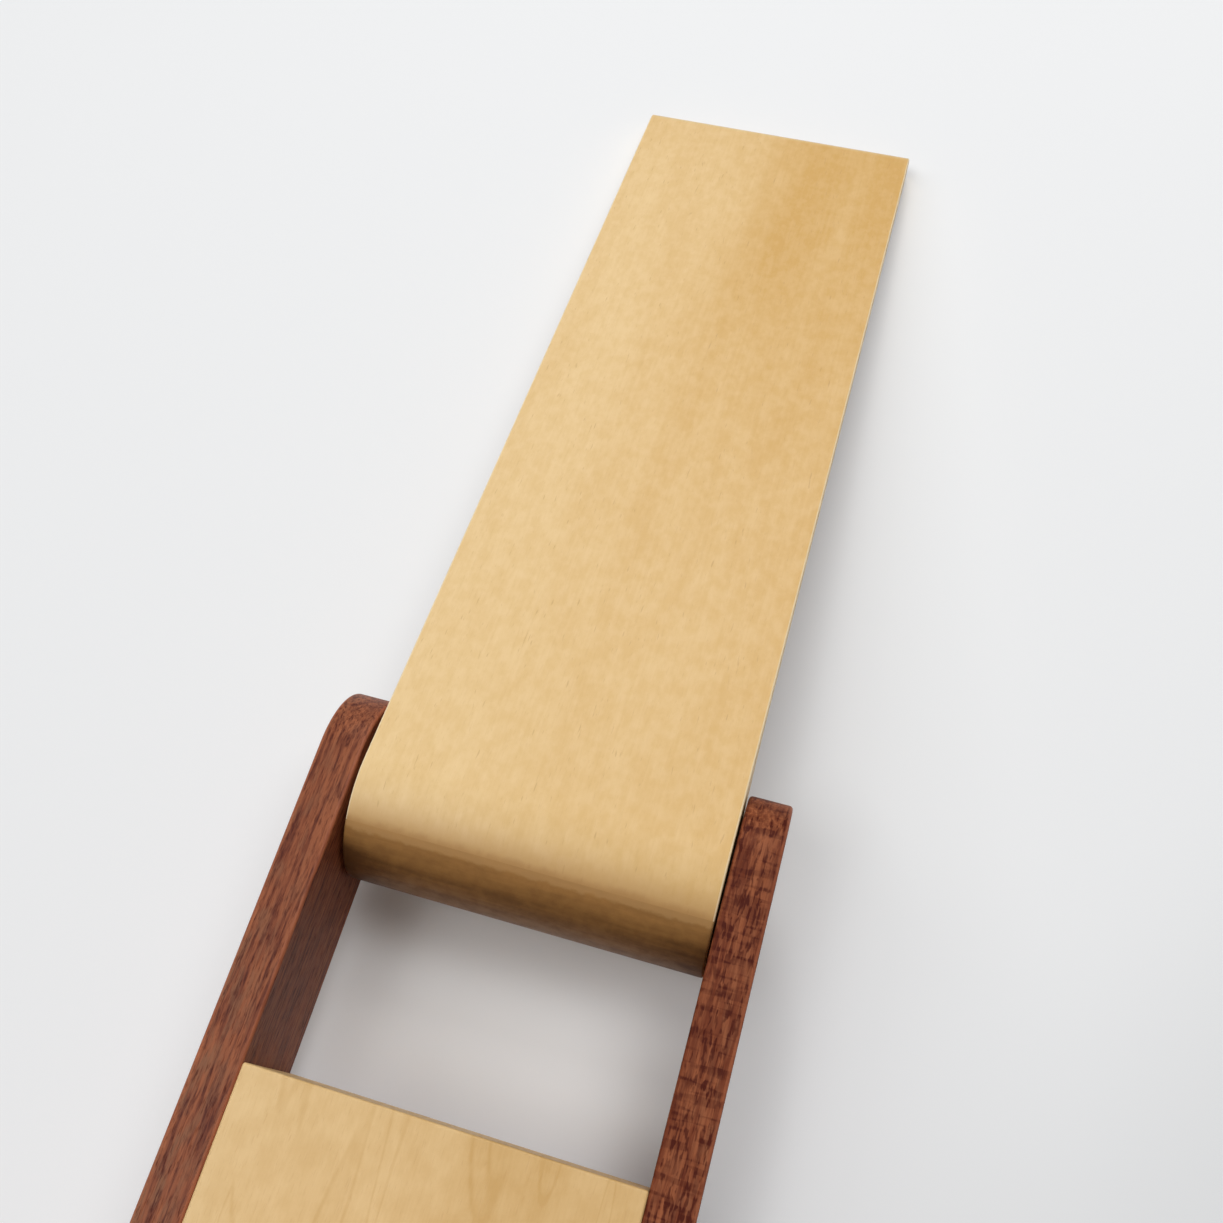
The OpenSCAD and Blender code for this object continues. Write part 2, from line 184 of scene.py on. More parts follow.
class TongueSettings(bpy.types.PropertyGroup):
    """The fold-out tongue: a core and its veneered face"""

    veneer: length("Veneer", "Thickness of the face veneer", 0.6 * MM)
    wrap: FloatProperty(
        name="Wrap", description="How far the veneer runs past the top of the nose",
        default=math.radians(42), min=0, max=math.radians(80), subtype="ANGLE",
    )
    end_round: length("End Rounding", "Rounding of the far end's two edges", 2 * MM)
    hollow: length("Hollow", "Radius of the hollow under the blade", 15 * MM)
    arris: length("Arris", "Rounding of the tongue's long edges", 0.3 * MM)
    light: colour("Light Veneer", "Pale side of the veneer", tint(234, 204, 152))
    deep: colour("Deep Veneer", "Honey side of the veneer", tint(206, 162, 90))
    pore: colour("Pores", "Fine dark dashes in the veneer", tint(186, 140, 84))
    # Painted shade where the veneer's face turns away from the light over the nose.
    bend: colour("Shadowed Veneer", "Darker veneer where it bends round the nose", tint(196, 154, 100))
    # Painted highlight on the rounded far end.
    worn: colour("Highlit End", "Greyed veneer on the rounded far end", tint(216, 194, 152))
    # Painted highlight along the veneer's rounded edges.
    edge: colour("Veneer Edge", "Cream rounded edges of the veneer", tint(246, 228, 190))
    core_light: colour("Light Core", "Pale streaks of the core", tint(170, 124, 70))
    core_deep: colour("Deep Core", "Dark streaks of the core", tint(92, 60, 31))


class BaseSettings(bpy.types.PropertyGroup):
    """The base board and what is under it"""

    corner: length("Corner", "Corner radius of the board", 4 * MM)
    arris: length("Arris", "Rounding of the board's edges", 0.6 * MM)
    pocket_gap: length("Pocket Gap", "Gap round the ballast plate", 0.3 * MM)
    foot_radius: length("Foot Radius", "Radius of a rubber foot", 5 * MM)
    foot_round: length("Foot Rounding", "Rounding of a rubber foot's rim", 0.5 * MM)
    ballast_corner: length("Ballast Corner", "Corner radius of the ballast plate", 0.5 * MM)
    ballast_arris: length("Ballast Arris", "Broken edge of the ballast plate", 0.4 * MM)


class CutterSettings(bpy.types.PropertyGroup):
    """The saw-tooth blade and its clamp"""

    teeth: IntProperty(name="Teeth", description="Number of teeth", default=24, min=4, max=60)
    tooth_h: length("Tooth Height", "Height of a tooth", 1.5 * MM)
    grind: length("Grind", "Height of the ground slope behind the teeth", 2.6 * MM)
    arris: length("Clamp Arris", "Rounding of the clamp bar's edges", 0.25 * MM)
    zigzag: length("Torn Edge", "Depth of the teeth torn into the tape's end", 0.8 * MM)


class RollSettings(bpy.types.PropertyGroup):
    """The roll of kraft tape on its core and hub"""

    steps: IntProperty(name="Steps", description="Facets in one turn", default=120, min=24, max=240)
    ply_gap: length("Ply Gap", "Open part of the gap between two turns", 0.03 * MM)
    boss: length("Boss Wall", "Wall of the hub's bosses round the axle", 2.45 * MM)
    paper: colour("Kraft", "Face of the kraft paper", tint(186, 142, 96))
    paper_edge: colour("Kraft Edge", "Cut edges of the tape", tint(168, 126, 84))
    card: colour("Card", "Grey-brown card of the core", tint(156, 132, 104))


class StageSettings(bpy.types.PropertyGroup):
    """Camera, floor and lights"""

    lens: number("Lens", "Focal length in mm", 36.64, low=10)
    eye: FloatVectorProperty(
        name="Eye", description="Place of the camera", size=3, unit="LENGTH",
        default=(-29.25 * MM, 31.10 * MM, 185.2 * MM),
    )
    look: FloatVectorProperty(
        name="Look", description="Direction that the camera looks in", size=3,
        default=(0.163, -0.380, -0.910),
    )
    right: FloatVectorProperty(
        name="Right", description="Direction of the picture's right edge", size=3,
        default=(-0.958, -0.277, -0.056),
    )
    floor: colour("Floor", "Colour of the table top", tint(238, 239, 240))
    sky: number("Sky", "Strength of the light from all round", 0.02)
    gloss: number("Gloss", "Strength of the room in reflections", 0.35)
    window: number("Window", "Power of the window beyond the tongue", 3.9)
    corner: number("Corner", "Power of the high lamp beyond -X", 3.4)
    ceiling: number("Ceiling", "Power of the high lamp over +X", 2.9)
    side: number("Side", "Power of the lower lamp at +X", 1.5)


SETTINGS = {
    "dispenser_rails": RailSettings,
    "dispenser_pale": PaleSettings,
    "dispenser_tongue": TongueSettings,
    "dispenser_base": BaseSettings,
    "dispenser_cutter": CutterSettings,
    "dispenser_roll": RollSettings,
    "dispenser_stage": StageSettings,
}


# ---- Node trees ----


class Socket:
    """One output of a node. Arithmetic on it adds Math nodes to the same tree."""

    def __init__(self, flow, out):
        self.flow = flow
        self.out = out

    def math(self, operation, *values):
        """A Math node with these values or sockets."""
        return self.flow.node("ShaderNodeMath", {"operation": operation}, dict(enumerate(values)))

    def __add__(self, other):
        return self.math("ADD", self, other)

    def __sub__(self, other):
        return self.math("SUBTRACT", self, other)

    def __rsub__(self, other):
        return self.math("SUBTRACT", other, self)

    def __mul__(self, other):
        return self.math("MULTIPLY", self, other)

    def __truediv__(self, other):
        return self.math("DIVIDE", self, other)

    __radd__ = __add__
    __rmul__ = __mul__

    def size(self):
        """Its distance from 0."""
        return self.math("ABSOLUTE", self)

    def spread(self, low, high):
        """0 at low and below, 1 at high and above, with a soft rise between."""
        return self.flow.node(
            "ShaderNodeMapRange", {"interpolation_type": "SMOOTHSTEP"},
            {"Value": self, "From Min": low, "From Max": high},
        )


class Flow:
    """A node tree, with one method that adds any node to it."""

    def __init__(self, tree):
        self.tree = tree

    def node(self, kind, settings=None, inputs=None, output=0):
        """Adds a node, makes its settings first, then gives its sockets their values or links."""
        made = self.tree.nodes.new(kind)
        for key, value in (settings or {}).items():
            setattr(made, key, value)
        for key, value in (inputs or {}).items():
            if isinstance(value, Socket):
                self.tree.links.new(value.out, made.inputs[key])
            else:
                made.inputs[key].default_value = value
        return Socket(self, made.outputs[output])

    def mix(self, factor, low, high):
        """A colour between low and high, where each is a colour or a socket."""
        ends = [c if isinstance(c, Socket) else (*c, 1.0) for c in (low, high)]
        return self.node(
            "ShaderNodeMix", {"data_type": "RGBA"}, {0: factor, 6: ends[0], 7: ends[1]}, output=2,
        )


class Finish(Flow):
    """A material: even values go straight onto its shader, and feed() links what varies."""

    def __init__(self, name, even):
        self.material = bpy.data.materials.new(name)
        self.material.use_nodes = True
        super().__init__(self.material.node_tree)
        self.shader = self.tree.nodes["Principled BSDF"]
        for socket, value in even.items():
            self.shader.inputs[socket].default_value = value

    def feed(self, socket, value):
        """Links a varying value to one of the shader's sockets."""
        self.tree.links.new(value.out, self.shader.inputs[socket])

    def place(self, turn=(0, 0, 0), shift=(0, 0, 0)):
        """Where a point lies on the object, in mm, turned and shifted."""
        here = self.node("ShaderNodeTexCoord", output="Object")
        return self.mapped(here, IN_MM, turn, shift)

    def mapped(self, vector, scale, turn=(0, 0, 0), shift=(0, 0, 0)):
        """A vector scaled, then turned and shifted."""
        return self.node(
            "ShaderNodeMapping", {},
            {"Vector": vector, "Scale": scale, "Rotation": turn, "Location": shift},
        )

    def parts(self, vector):
        """The three numbers of a vector."""
        split = self.node("ShaderNodeSeparateXYZ", {}, {"Vector": vector}).out.node
        return [Socket(self, out) for out in split.outputs]

    def noise(self, place, size, detail=2.0, rough=0.5, bend=0.0, seed=0.0):
        """Noise from 0 to 1 whose grains have the given size in mm each way."""
        squeezed = self.mapped(place, [1 / s for s in size], shift=(seed, seed * 1.7, seed * 0.6))
        return self.node(
            "ShaderNodeTexNoise", {},
            {
                "Vector": squeezed, "Scale": 1.0, "Detail": detail, "Roughness": rough,
                "Distortion": bend,
            },
        )

    def bump(self, height, depth, strength):
        """Feeds the shader a bump that is depth metres deep where height goes from 0 to 1."""
        self.feed("Normal", self.node(
            "ShaderNodeBump", {}, {"Height": height, "Distance": depth, "Strength": strength},
        ))

    def rim(self):
        """1 along the rounded edges of a piece and 0 elsewhere."""
        return self.node("ShaderNodeAttribute", {"attribute_name": "rim"}, output="Fac")


# ---- Finishes ----


def rosewood(name, look, seed, fleck, sheen=0.25):
    """Oiled reddish rosewood with dark streaks, and a woven figure where fleck is over 0."""
    wood = Finish(name, {"Specular IOR Level": sheen})
    place = wood.place()
    broad = wood.noise(place, (2.6, 45, 2.6), seed=seed).spread(0.3, 0.7)
    streak = wood.noise(place, (0.5, 7, 0.5), detail=4, rough=0.62, bend=0.3, seed=seed + 3)
    dash = wood.noise(place, (0.26, 1.7, 0.26), rough=0.6, seed=seed + 5)
    dust_and_sheen = wood.noise(place, (0.9, 4, 0.9), seed=seed + 7).spread(0.4, 0.65)
    pores = wood.noise(place, (0.18, 1.4, 0.18), detail=1, seed=seed + 9).spread(0.56, 0.7)
    side, back, _ = wood.parts(place)
    outer = side.size().spread(INNER_X / MM, OUTER_X / MM)
    # Painted sheen: the greyer patches grow stronger towards +Y, less on the figured rail.
    patches_and_sheen = (0.5 + back.spread(-10, 45) * 0.8) * (1 - fleck * 0.7)
    tone = broad * 0.45 + streak.spread(0.36, 0.6) * 0.55 + fleck * 0.16
    body = wood.mix(tone, look.light, look.deep)
    body = wood.mix(dust_and_sheen * (0.2 + outer * 0.4) * patches_and_sheen, body, look.dust_and_sheen)
    dark = streak.spread(0.49, 0.62) * 0.35 + dash.spread(0.46, 0.66) * 0.4 + pores * 0.25
    if fleck:
        across = wood.noise(place, (5, 0.8, 9), rough=0.4, bend=0.4, seed=seed + 13)
        along = wood.noise(place, (0.4, 1.8, 9), rough=0.4, bend=0.4, seed=seed + 17)
        patch = wood.noise(place, (3, 4, 9), detail=1, seed=seed + 21).spread(0.3, 0.6)
        plaid = across.spread(0.46, 0.62) * 0.5 + along.spread(0.46, 0.62) * (0.4 + patch * 0.5)
        dark = dark * (1 - fleck) + plaid * fleck
    body = wood.mix(dark.spread(0.0, 0.9 + fleck * 0.2), body, look.pore)
    # Painted highlight on the rounded arrises; on the figured rail only the outer arris gets it.
    worn = wood.rim() * (outer * fleck + 1 - fleck) * 0.5
    wood.feed("Base Color", wood.mix(worn, body, look.edge))
    wood.feed("Roughness", 0.45 + pores * 0.15 + dash * 0.08)
    wood.bump(1 - pores * 0.8 - dash * 0.3, 0.02 * MM, 0.6)
    return wood.material


def maple(name, look, turn, seed, figure=0.5, shade=0.0):
    """Pale satin maple with soft mottling and curved growth lines, darker to -X by shade."""
    wood = Finish(name, {"Specular IOR Level": 0.35})
    place = wood.place(turn=turn)
    broad = wood.noise(place, (11, 70, 11), seed=seed).spread(0.28, 0.72)
    mottle = wood.noise(place, (2.2, 3.2, 2.2), detail=4, rough=0.6, seed=seed + 2).spread(0.3, 0.7)
    rings = wood.noise(place, (6, 34, 6), detail=1, bend=0.6, seed=seed + 4)
    wave = rings.math("PINGPONG", rings * 4, 0.5) * 2
    fine = wood.noise(place, (0.3, 6, 0.3), rough=0.6, seed=seed + 6)
    pores = wood.noise(place, (0.12, 1.5, 0.12), detail=1, seed=seed + 8).spread(0.62, 0.76)
    tone = broad * 0.34 + mottle * 0.26 + fine.spread(0.3, 0.7) * 0.08
    tone = tone + wave.spread(0.8, 1.0) * figure * 0.5
    if shade:
        side, _, _ = wood.parts(place)
        tone = tone + (0 - side).spread(-20, 25) * shade
    body = wood.mix(tone, look.light, look.deep)
    body = wood.mix(pores * 0.2, body, look.pore)
    wood.feed("Base Color", wood.mix(wood.rim() * 0.4, body, look.light))
    wood.feed("Roughness", 0.46 + fine * 0.1)
    wood.bump(1 - pores * 0.6 - fine * 0.4, 0.012 * MM, 0.5)
    return wood.material


def veneer(name, look, run):
    """Honey maple veneer whose grain follows the face over the nose and along the blade."""
    wood = Finish(name, {"Specular IOR Level": 0.38})
    grain = wood.mapped(wood.node("ShaderNodeUVMap", {"uv_map": "grain"}), IN_MM)
    wide, long = 2 * TONGUE_HALF / MM, run / MM
    across, along, _ = wood.parts(grain)
    side = (0.5 - across / wide).spread(-0.3, 1.05)
    away = (along / long).spread(0.1, 0.9)
    heart = 1 - (across + 6).size() / 9
    broad = wood.noise(grain, (9, 75, 9), bend=0.2, seed=4.2).spread(0.3, 0.7)
    mottle = wood.noise(grain, (1.7, 2.4, 1.7), detail=5, rough=0.62, seed=7.7).spread(0.3, 0.7)
    lines = wood.noise(grain, (0.7, 22, 0.7), rough=0.6, bend=0.1, seed=1.3)
    fine = wood.noise(grain, (0.22, 3, 0.22), rough=0.6, seed=9.1)
    pores = wood.noise(grain, (0.12, 1.2, 0.12), detail=1, seed=3.4).spread(0.64, 0.78)
    tone = side * 0.45 + side * away * 0.1 + broad * 0.2 * (0.35 + away)
    tone = tone + mottle * 0.2 + lines.spread(0.3, 0.7) * 0.08 + heart.spread(0, 1) * away * 0.16
    body = wood.mix(tone, look.light, look.deep)
    body = wood.mix(fine.spread(0.5, 0.8) * 0.1 + pores * 0.2, body, look.pore)
    flecks = wood.noise(grain, (0.3, 2.4, 0.3), detail=1, seed=12.4).spread(0.7, 0.8)
    body = wood.mix(flecks * 0.45, body, look.pore)
    # Painted shade: the veneer darkens over the nose, where its face turns away from the light.
    body = wood.mix(1 - along.spread(-1.5, 5.0), body, look.bend)
    # Painted shade: the veneer is darker over its last mm or so before the wrapped end.
    lip = 1 - (along + mottle * 0.6).spread(0.2, 1.6)
    body = wood.mix(lip * 0.5, body, look.core_light)
    # Painted highlight: a paler band on the rounded far end.
    end = along.spread(long - 3.4, long - 2.4)
    body = wood.mix(end * 0.5, body, look.worn)
    # Painted highlight along the rounded edges.
    wood.feed("Base Color", wood.mix(wood.rim() * 0.85, body, look.edge))
    wood.feed("Roughness", 0.43 + mottle * 0.08 + fine * 0.05)
    wood.bump(1 - pores * 0.6 - fine * 0.4, 0.012 * MM, 0.5)
    return wood.material


def core_wood(name, look):
    """Darker brown core under the veneer, with painted shade low on the nose and at its ends."""
    wood = Finish(name, {"Specular IOR Level": 0.3})
    place = wood.place(shift=(SIDE_PLAY / MM, 0, -PIN.z / MM))
    across, back, up = wood.parts(place)
    # Painted shade: darker low on the nose's underside and towards both ends, near the rails.
    low = (0 - up).spread(-9.2, -6.2) * back.spread(-6, 0)
    ends = across.spread(15, 26) * 0.5 + (0 - across).spread(15, 26) * 0.3
    streak = wood.noise(place, (12, 1.1, 1.1), detail=3, rough=0.55, bend=0.3, seed=2.5)
    mottle = wood.noise(place, (1.9, 1.9, 1.9), detail=5, rough=0.62, seed=6.5).spread(0.3, 0.7)
    fine = wood.noise(place, (3, 0.2, 0.2), rough=0.6, seed=8.5)
    tone = streak.spread(0.3, 0.7) * 0.2 + mottle * 0.2 + fine * 0.05
    tone = tone + low * 0.4 + ends * low
    half = TONGUE_HALF / MM
    face = across.size().spread(half - 0.06, half - 0.02)
    body = wood.mix(tone, look.core_light, look.core_deep)
    # Painted light: a lighter band just under the veneer's end softens the edge of the painted
    # shade.
    seam = (up + mottle * 0.3).spread(9.45, 9.85)
    body = wood.mix(seam * 0.55, body, look.bend)
    side = wood.mix(tone * 0.5, look.light, look.deep)
    wood.feed("Base Color", wood.mix(face, body, side))
    wood.feed("Roughness", 0.45 + mottle * 0.1)
    wood.bump(1 - fine * 0.6, 0.012 * MM, 0.5)
    return wood.material


def metal(name, shade, dull, stretch):
    """Metal with brush lines stretched along one axis and a little smudging."""
    made = Finish(name, {"Metallic": 1.0})
    place = made.place()
    brush = made.noise(place, stretch, detail=3, rough=0.65, seed=1.5)
    smudge = made.noise(place, (4, 4, 4), detail=3, rough=0.6, seed=5.5)
    tone = smudge.spread(0.35, 0.75) * 0.6 + brush * 0.3
    made.feed("Base Color", made.mix(tone, shade, shaded(shade, 0.82)))
    made.feed("Roughness", dull + brush * 0.12 + smudge * 0.14)
    made.bump(brush, 0.004 * MM, 0.4)
    return made.material


def mill_steel(name):
    """Blackened steel plate with mill scale and rubbed edges."""
    made = Finish(name, {"Metallic": 0.85})
    place = made.place()
    scale = made.noise(place, (2.4, 2.4, 2.4), detail=6, rough=0.7, bend=0.1, seed=3.1)
    speck = made.noise(place, (0.4, 0.4, 0.4), seed=4.1)
    body = made.mix(scale.spread(0.35, 0.7), tint(70, 71, 74), tint(44, 44, 48))
    body = made.mix(speck.spread(0.62, 0.8) * 0.4, body, tint(110, 84, 66))
    made.feed("Base Color", made.mix(made.rim() * 0.7, body, tint(168, 168, 170)))
    made.feed("Roughness", 0.42 + scale * 0.25)
    made.bump(scale, 0.02 * MM, 0.5)
    return made.material


def moulded(name, shade, rough, grain):
    """Matt moulded plastic or rubber with a fine skin."""
    made = Finish(name, {"Specular IOR Level": 0.4})
    place = made.place()
    skin = made.noise(place, (grain, grain, grain), rough=0.6, seed=2.2)
    cloud = made.noise(place, (3, 3, 3), seed=6.2)
    dusty = tuple(min(1.0, c * 1.35 + 0.01) for c in shade)
    tone = cloud.spread(0.4, 0.75) * 0.5 + made.rim() * 0.3
    made.feed("Base Color", made.mix(tone, shade, dusty))
    made.feed("Roughness", rough + skin * 0.12)
    made.bump(skin, 0.012 * MM, 0.5)
    return made.material


def kraft(name, look):
    """Kraft paper tape: soft fibres on its face and paler, drier cut edges."""
    made = Finish(name, {"Specular IOR Level": 0.35})
    place = made.place()
    across, _, _ = made.parts(place)
    half = TAPE_HALF / MM
    edge = across.size().spread(half - 0.12, half - 0.04)
    fibre = made.noise(place, (0.9, 0.45, 0.45), detail=5, rough=0.7, bend=1.2, seed=1.1)
    cloud = made.noise(place, (6, 6, 6), detail=3, rough=0.6, seed=4.4)
    ribbed = made.noise(place, (0.6, 60, 60), detail=1, seed=2.9)
    tone = fibre.spread(0.35, 0.7) * 0.35 + cloud * 0.4 + ribbed.spread(0.4, 0.6) * 0.08
    worn = shaded(look.paper, 0.74)
    face = made.mix(tone, look.paper, worn)
    side = made.mix(cloud.spread(0.3, 0.7) * 0.4, look.paper_edge, worn)
    made.feed("Base Color", made.mix(edge, face, side))
    made.feed("Roughness", 0.52 + fibre * 0.15 + edge * 0.2)
    made.bump(fibre * 0.7 + ribbed * 0.3, 0.01 * MM, 0.5)
    return made.material


def card(name, look):
    """Spiral-wound grey card with its winding seam."""
    made = Finish(name, {"Specular IOR Level": 0.3})
    place = made.place(shift=(0, -SPINDLE.y / MM, -SPINDLE.z / MM))
    across, back, up = made.parts(place)
    lap = across / CARD_PITCH + back.math("ARCTAN2", up, back) / math.tau
    seam = lap.math("FRACT", lap)
    whole = seam.spread(0.0, 0.02) * (1 - seam.spread(0.98, 1.0))
    fibre = made.noise(place, (0.5, 0.5, 0.5), detail=4, rough=0.7, seed=5.1)
    cloud = made.noise(place, (5, 5, 5), seed=2.1)
    tone = fibre * 0.5 + cloud * 0.2 + (1 - whole) * 0.4
    made.feed("Base Color", made.mix(tone, look.card, shaded(look.card, 0.6)))
    made.feed("Roughness", 0.78 + fibre * 0.12)
    made.bump(whole * 0.7 + fibre * 0.3, 0.05 * MM, 0.6)
    return made.material


# ---- Outlines and meshes ----


def arc(centre, radius, start, end, steps=12):
    """Points on an arc from start to end, in degrees."""
    turns = [math.radians(start + (end - start) * i / steps) for i in range(steps + 1)]
    return [(centre[0] + radius * math.cos(a), centre[1] + radius * math.sin(a)) for a in turns]


def rounded_box(low, high, radius, steps=6):
    """Outline of a rectangle with round corners."""
    left, right = low[0] + radius, high[0] - radius
    bottom, top = low[1] + radius, high[1] - radius
    centres = ((right, top), (left, top), (left, bottom), (right, bottom))
    return [
        point
        for order, centre in enumerate(centres)
        for point in arc(centre, radius, 90 * order, 90 * order + 90, steps)
    ]


def ring_profile(low, high, outer, bore, bevel):
    """Section of a ring with its four edges bevelled."""
    return [
        (low, bore + bevel), (low, outer - bevel), (low + bevel, outer), (high - bevel, outer),
        (high, outer - bevel), (high, bore + bevel), (high - bevel, bore), (low + bevel, bore),
    ]


def rod_profile(low, high, radius, bevel):
    """Section of a rod with bevelled ends."""
    return [
        (low, 0), (low, radius - bevel), (low + bevel, radius),
        (high - bevel, radius), (high, radius - bevel), (high, 0),
    ]


def mitres(outline, soft):
    """How each point of an outline moves when its soft stretches shrink by one."""
    moves = []
    count = len(outline)
    for i, here in enumerate(outline):
        before, after = outline[i - 1], outline[(i + 1) % count]
        edges = [(here, before, -1)] if soft[i] and soft[i - 1] else []
        edges += [(here, after, 1)] if soft[i] and soft[(i + 1) % count] else []
        normals = []
        for start, end, sign in edges:
            run = Vector((end[0] - start[0], end[1] - start[1])).normalized() * sign
            normals.append(Vector((-run.y, run.x)))
        total = sum(normals, Vector((0, 0)))
        if len(normals) == 2:
            total /= 1 + normals[0].dot(normals[1])
        moves.append(total)
    return moves


def slab(outline, low, high, arris, place, soft=None, steps=5, crease=35):
    """A closed plate from low to high whose outline's soft edges are rounded by arris.

    place turns a point (a, b, level) into X, Y and Z. The outline runs anticlockwise
    as seen from the high side. The mesh gets a "grain" map of the level and the run
    along the outline, and a "rim" value that is 1 along the rounded edges.
    """
    soft = soft or [True] * len(outline)
    moves = mitres(outline, soft)
    made = bmesh.new()
    rim = made.verts.layers.float.new("rim")
    grain = made.loops.layers.uv.new("grain")
    runs = [0.0]
    for start, end in zip(outline, outline[1:] + outline[:1]):
        runs.append(runs[-1] + math.dist(start, end))
    steps = steps if arris else 0
    rings = []
    for step in [*range(steps + 1), *range(steps, -1, -1)]:
        turn = math.pi / 2 * step / steps if steps else math.pi / 2
        shrink, depth = arris * (1 - math.sin(turn)), arris * (1 - math.cos(turn))
        level = low + depth if len(rings) <= steps else high - depth
        ring = []
        for (a, b), move in zip(outline, moves):
            vert = made.verts.new(place(a + move.x * shrink, b + move.y * shrink, level))
            vert[rim] = math.sin(2 * turn) * min(1.0, move.length)
            ring.append(vert)
        rings.append((level, ring))
    count = len(outline)
    for (low_level, low_ring), (high_level, high_ring) in zip(rings, rings[1:]):
        for i in range(count):
            j = (i + 1) % count
            face = made.faces.new((low_ring[i], low_ring[j], high_ring[j], high_ring[i]))
            curved = math.dist(outline[i], outline[j]) < CURVE_FACET
            face.smooth = curved or low_level != rings[steps][0]
            ends = [(low_level, i), (low_level, i + 1), (high_level, i + 1), (high_level, i)]
            for loop, (level, k) in zip(face.loops, ends):
                loop[grain].uv = (level, runs[k])
    for ring, flip in ((rings[0][1], True), (rings[-1][1], False)):
        face = made.faces.new(ring[::-1] if flip else ring)
        face.smooth = False
        points = outline[::-1] if flip else outline
        for loop, (a, b) in zip(face.loops, points):
            loop[grain].uv = (b, a)
    made.normal_update()
    for edge in made.edges:
        edge.smooth = edge.calc_face_angle() < math.radians(crease)
    return as_mesh(made)


def turned(profile, centre, axis, steps=64, closed=False, crease=30):
    """A lathe-turned mesh.

    The profile's points are (place along the axis, radius). A point on the axis is a pole.
    """
    axis = Vector(axis)
    across = axis.orthogonal().normalized()
    third = axis.cross(across)
    made = bmesh.new()
    rings = []
    for along, radius in profile:
        base = Vector(centre) + axis * along
        turns = [math.tau * i / steps for i in range(steps)] if radius else [0.0]
        out = [(across * math.cos(a) + third * math.sin(a)) * radius for a in turns]
        rings.append([made.verts.new(base + point) for point in out])
    pairs = list(zip(rings, rings[1:])) + ([(rings[-1], rings[0])] if closed else [])
    for low, high in pairs:
        for i in range(steps):
            j = (i + 1) % steps
            ends = ((low, i), (low, j), (high, j), (high, i))
            corners = [ring[k % len(ring)] for ring, k in ends]
            made.faces.new(list(dict.fromkeys(corners))).smooth = True
    bmesh.ops.recalc_face_normals(made, faces=made.faces)
    for edge in made.edges:
        edge.smooth = edge.calc_face_angle(0) < math.radians(crease)
    made.verts.layers.float.new("rim")
    made.loops.layers.uv.new("grain")
    return as_mesh(made)


def round_joint(profile, joint, steps, closed=True):
    """A mesh turned round a joint's axis, which runs along X."""
    return turned(profile, (0, joint.y, joint.z), X_AXIS, steps, closed)


def as_mesh(made):
    """The mesh of a finished bmesh, which is freed."""
    mesh = bpy.data.meshes.new("shape")
    made.to_mesh(mesh)
    made.free()
    return mesh


def borer(holes, sides=48):
    """One mesh of all the straight or tapered holes: (start, end, start radius, end radius)."""
    made = bmesh.new()
    for start, end, wide, narrow in holes:
        run = Vector(end) - Vector(start)
        turn = run.to_track_quat("Z", "Y").to_matrix().to_4x4()
        bmesh.ops.create_cone(
            made, cap_ends=True, segments=sides, radius1=wide, radius2=narrow, depth=run.length,
            matrix=Matrix.Translation(Vector(start) + run / 2) @ turn,
        )
    return as_mesh(made)


def cross_hole(start, end, y, z, radius):
    """A straight hole along X for the borer."""
    return ((start, y, z), (end, y, z), radius, radius)


def block(low, high):
    """A plain box mesh, for cutting pockets and slots."""
    made = bmesh.new()
    bmesh.ops.create_cube(made, size=1)
    middle = (Vector(low) + Vector(high)) / 2
    size = Vector(high) - Vector(low)
    for vert in made.verts:
        vert.co = middle + Vector([v * s for v, s in zip(vert.co, size)])
    return as_mesh(made)


def applied(holder):
    """The plain mesh that an object's modifiers make; the object is removed."""
    shown = holder.evaluated_get(bpy.context.evaluated_depsgraph_get())
    mesh = bpy.data.meshes.new_from_object(shown)
    bpy.data.objects.remove(holder)
    return mesh


def linked(name, mesh):
    """A new object of the scene that holds this mesh."""
    made = bpy.data.objects.new(name, mesh)
    bpy.context.scene.collection.objects.link(made)
    return made


def carved(mesh, *tools):
    """The mesh with each tool's shape cut out of it, one after the other."""
    for tool in tools:
        holder = linked("stock", mesh)
        cutter = linked("tool", tool)
        cut = holder.modifiers.new("cut", "BOOLEAN")
        cut.operation = "DIFFERENCE"
        cut.solver = "EXACT"
        cut.object = cutter
        mesh = applied(holder)
        bpy.data.objects.remove(cutter)
    return mesh


def piece_name(node):
    """A piece's name, made from its node's: pivot_pin is PivotPin."""
    return node.title().replace("_", "")


def fitted(mesh, node, body, material):
    """Finishes a mesh as a piece of the dispenser, in place of the frame's plain node."""
    name = piece_name(node)
    mesh.name = name
    mesh.materials.clear()
    mesh.materials.append(material)
    made = linked(name, mesh)
    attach(made, body)
    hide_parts(node)
    return made


# ---- Geometry Nodes ----


def new_tree(name, inputs):
    """A Geometry Nodes tree with these named inputs; returns its flow and the input sockets."""
    tree = bpy.data.node_groups.new(name, "GeometryNodeTree")
    tree.interface.new_socket("Geometry", in_out="OUTPUT", socket_type="NodeSocketGeometry")
    for key, kind in inputs.items():
        tree.interface.new_socket(key, in_out="INPUT", socket_type="NodeSocket" + kind)
    flow = Flow(tree)
    entry = flow.node("NodeGroupInput").out.node
    return flow, {key: Socket(flow, entry.outputs[key]) for key in inputs}


def close_tree(flow, shape, material):
    """Ends a tree in Realize Instances and Set Material."""
    real = flow.node("GeometryNodeRealizeInstances", {}, {"Geometry": shape})
    done = flow.node("GeometryNodeSetMaterial", {}, {"Geometry": real, "Material": material})
    way_out = flow.tree.nodes.new("NodeGroupOutput")
    flow.tree.links.new(done.out, way_out.inputs["Geometry"])
    return flow.tree


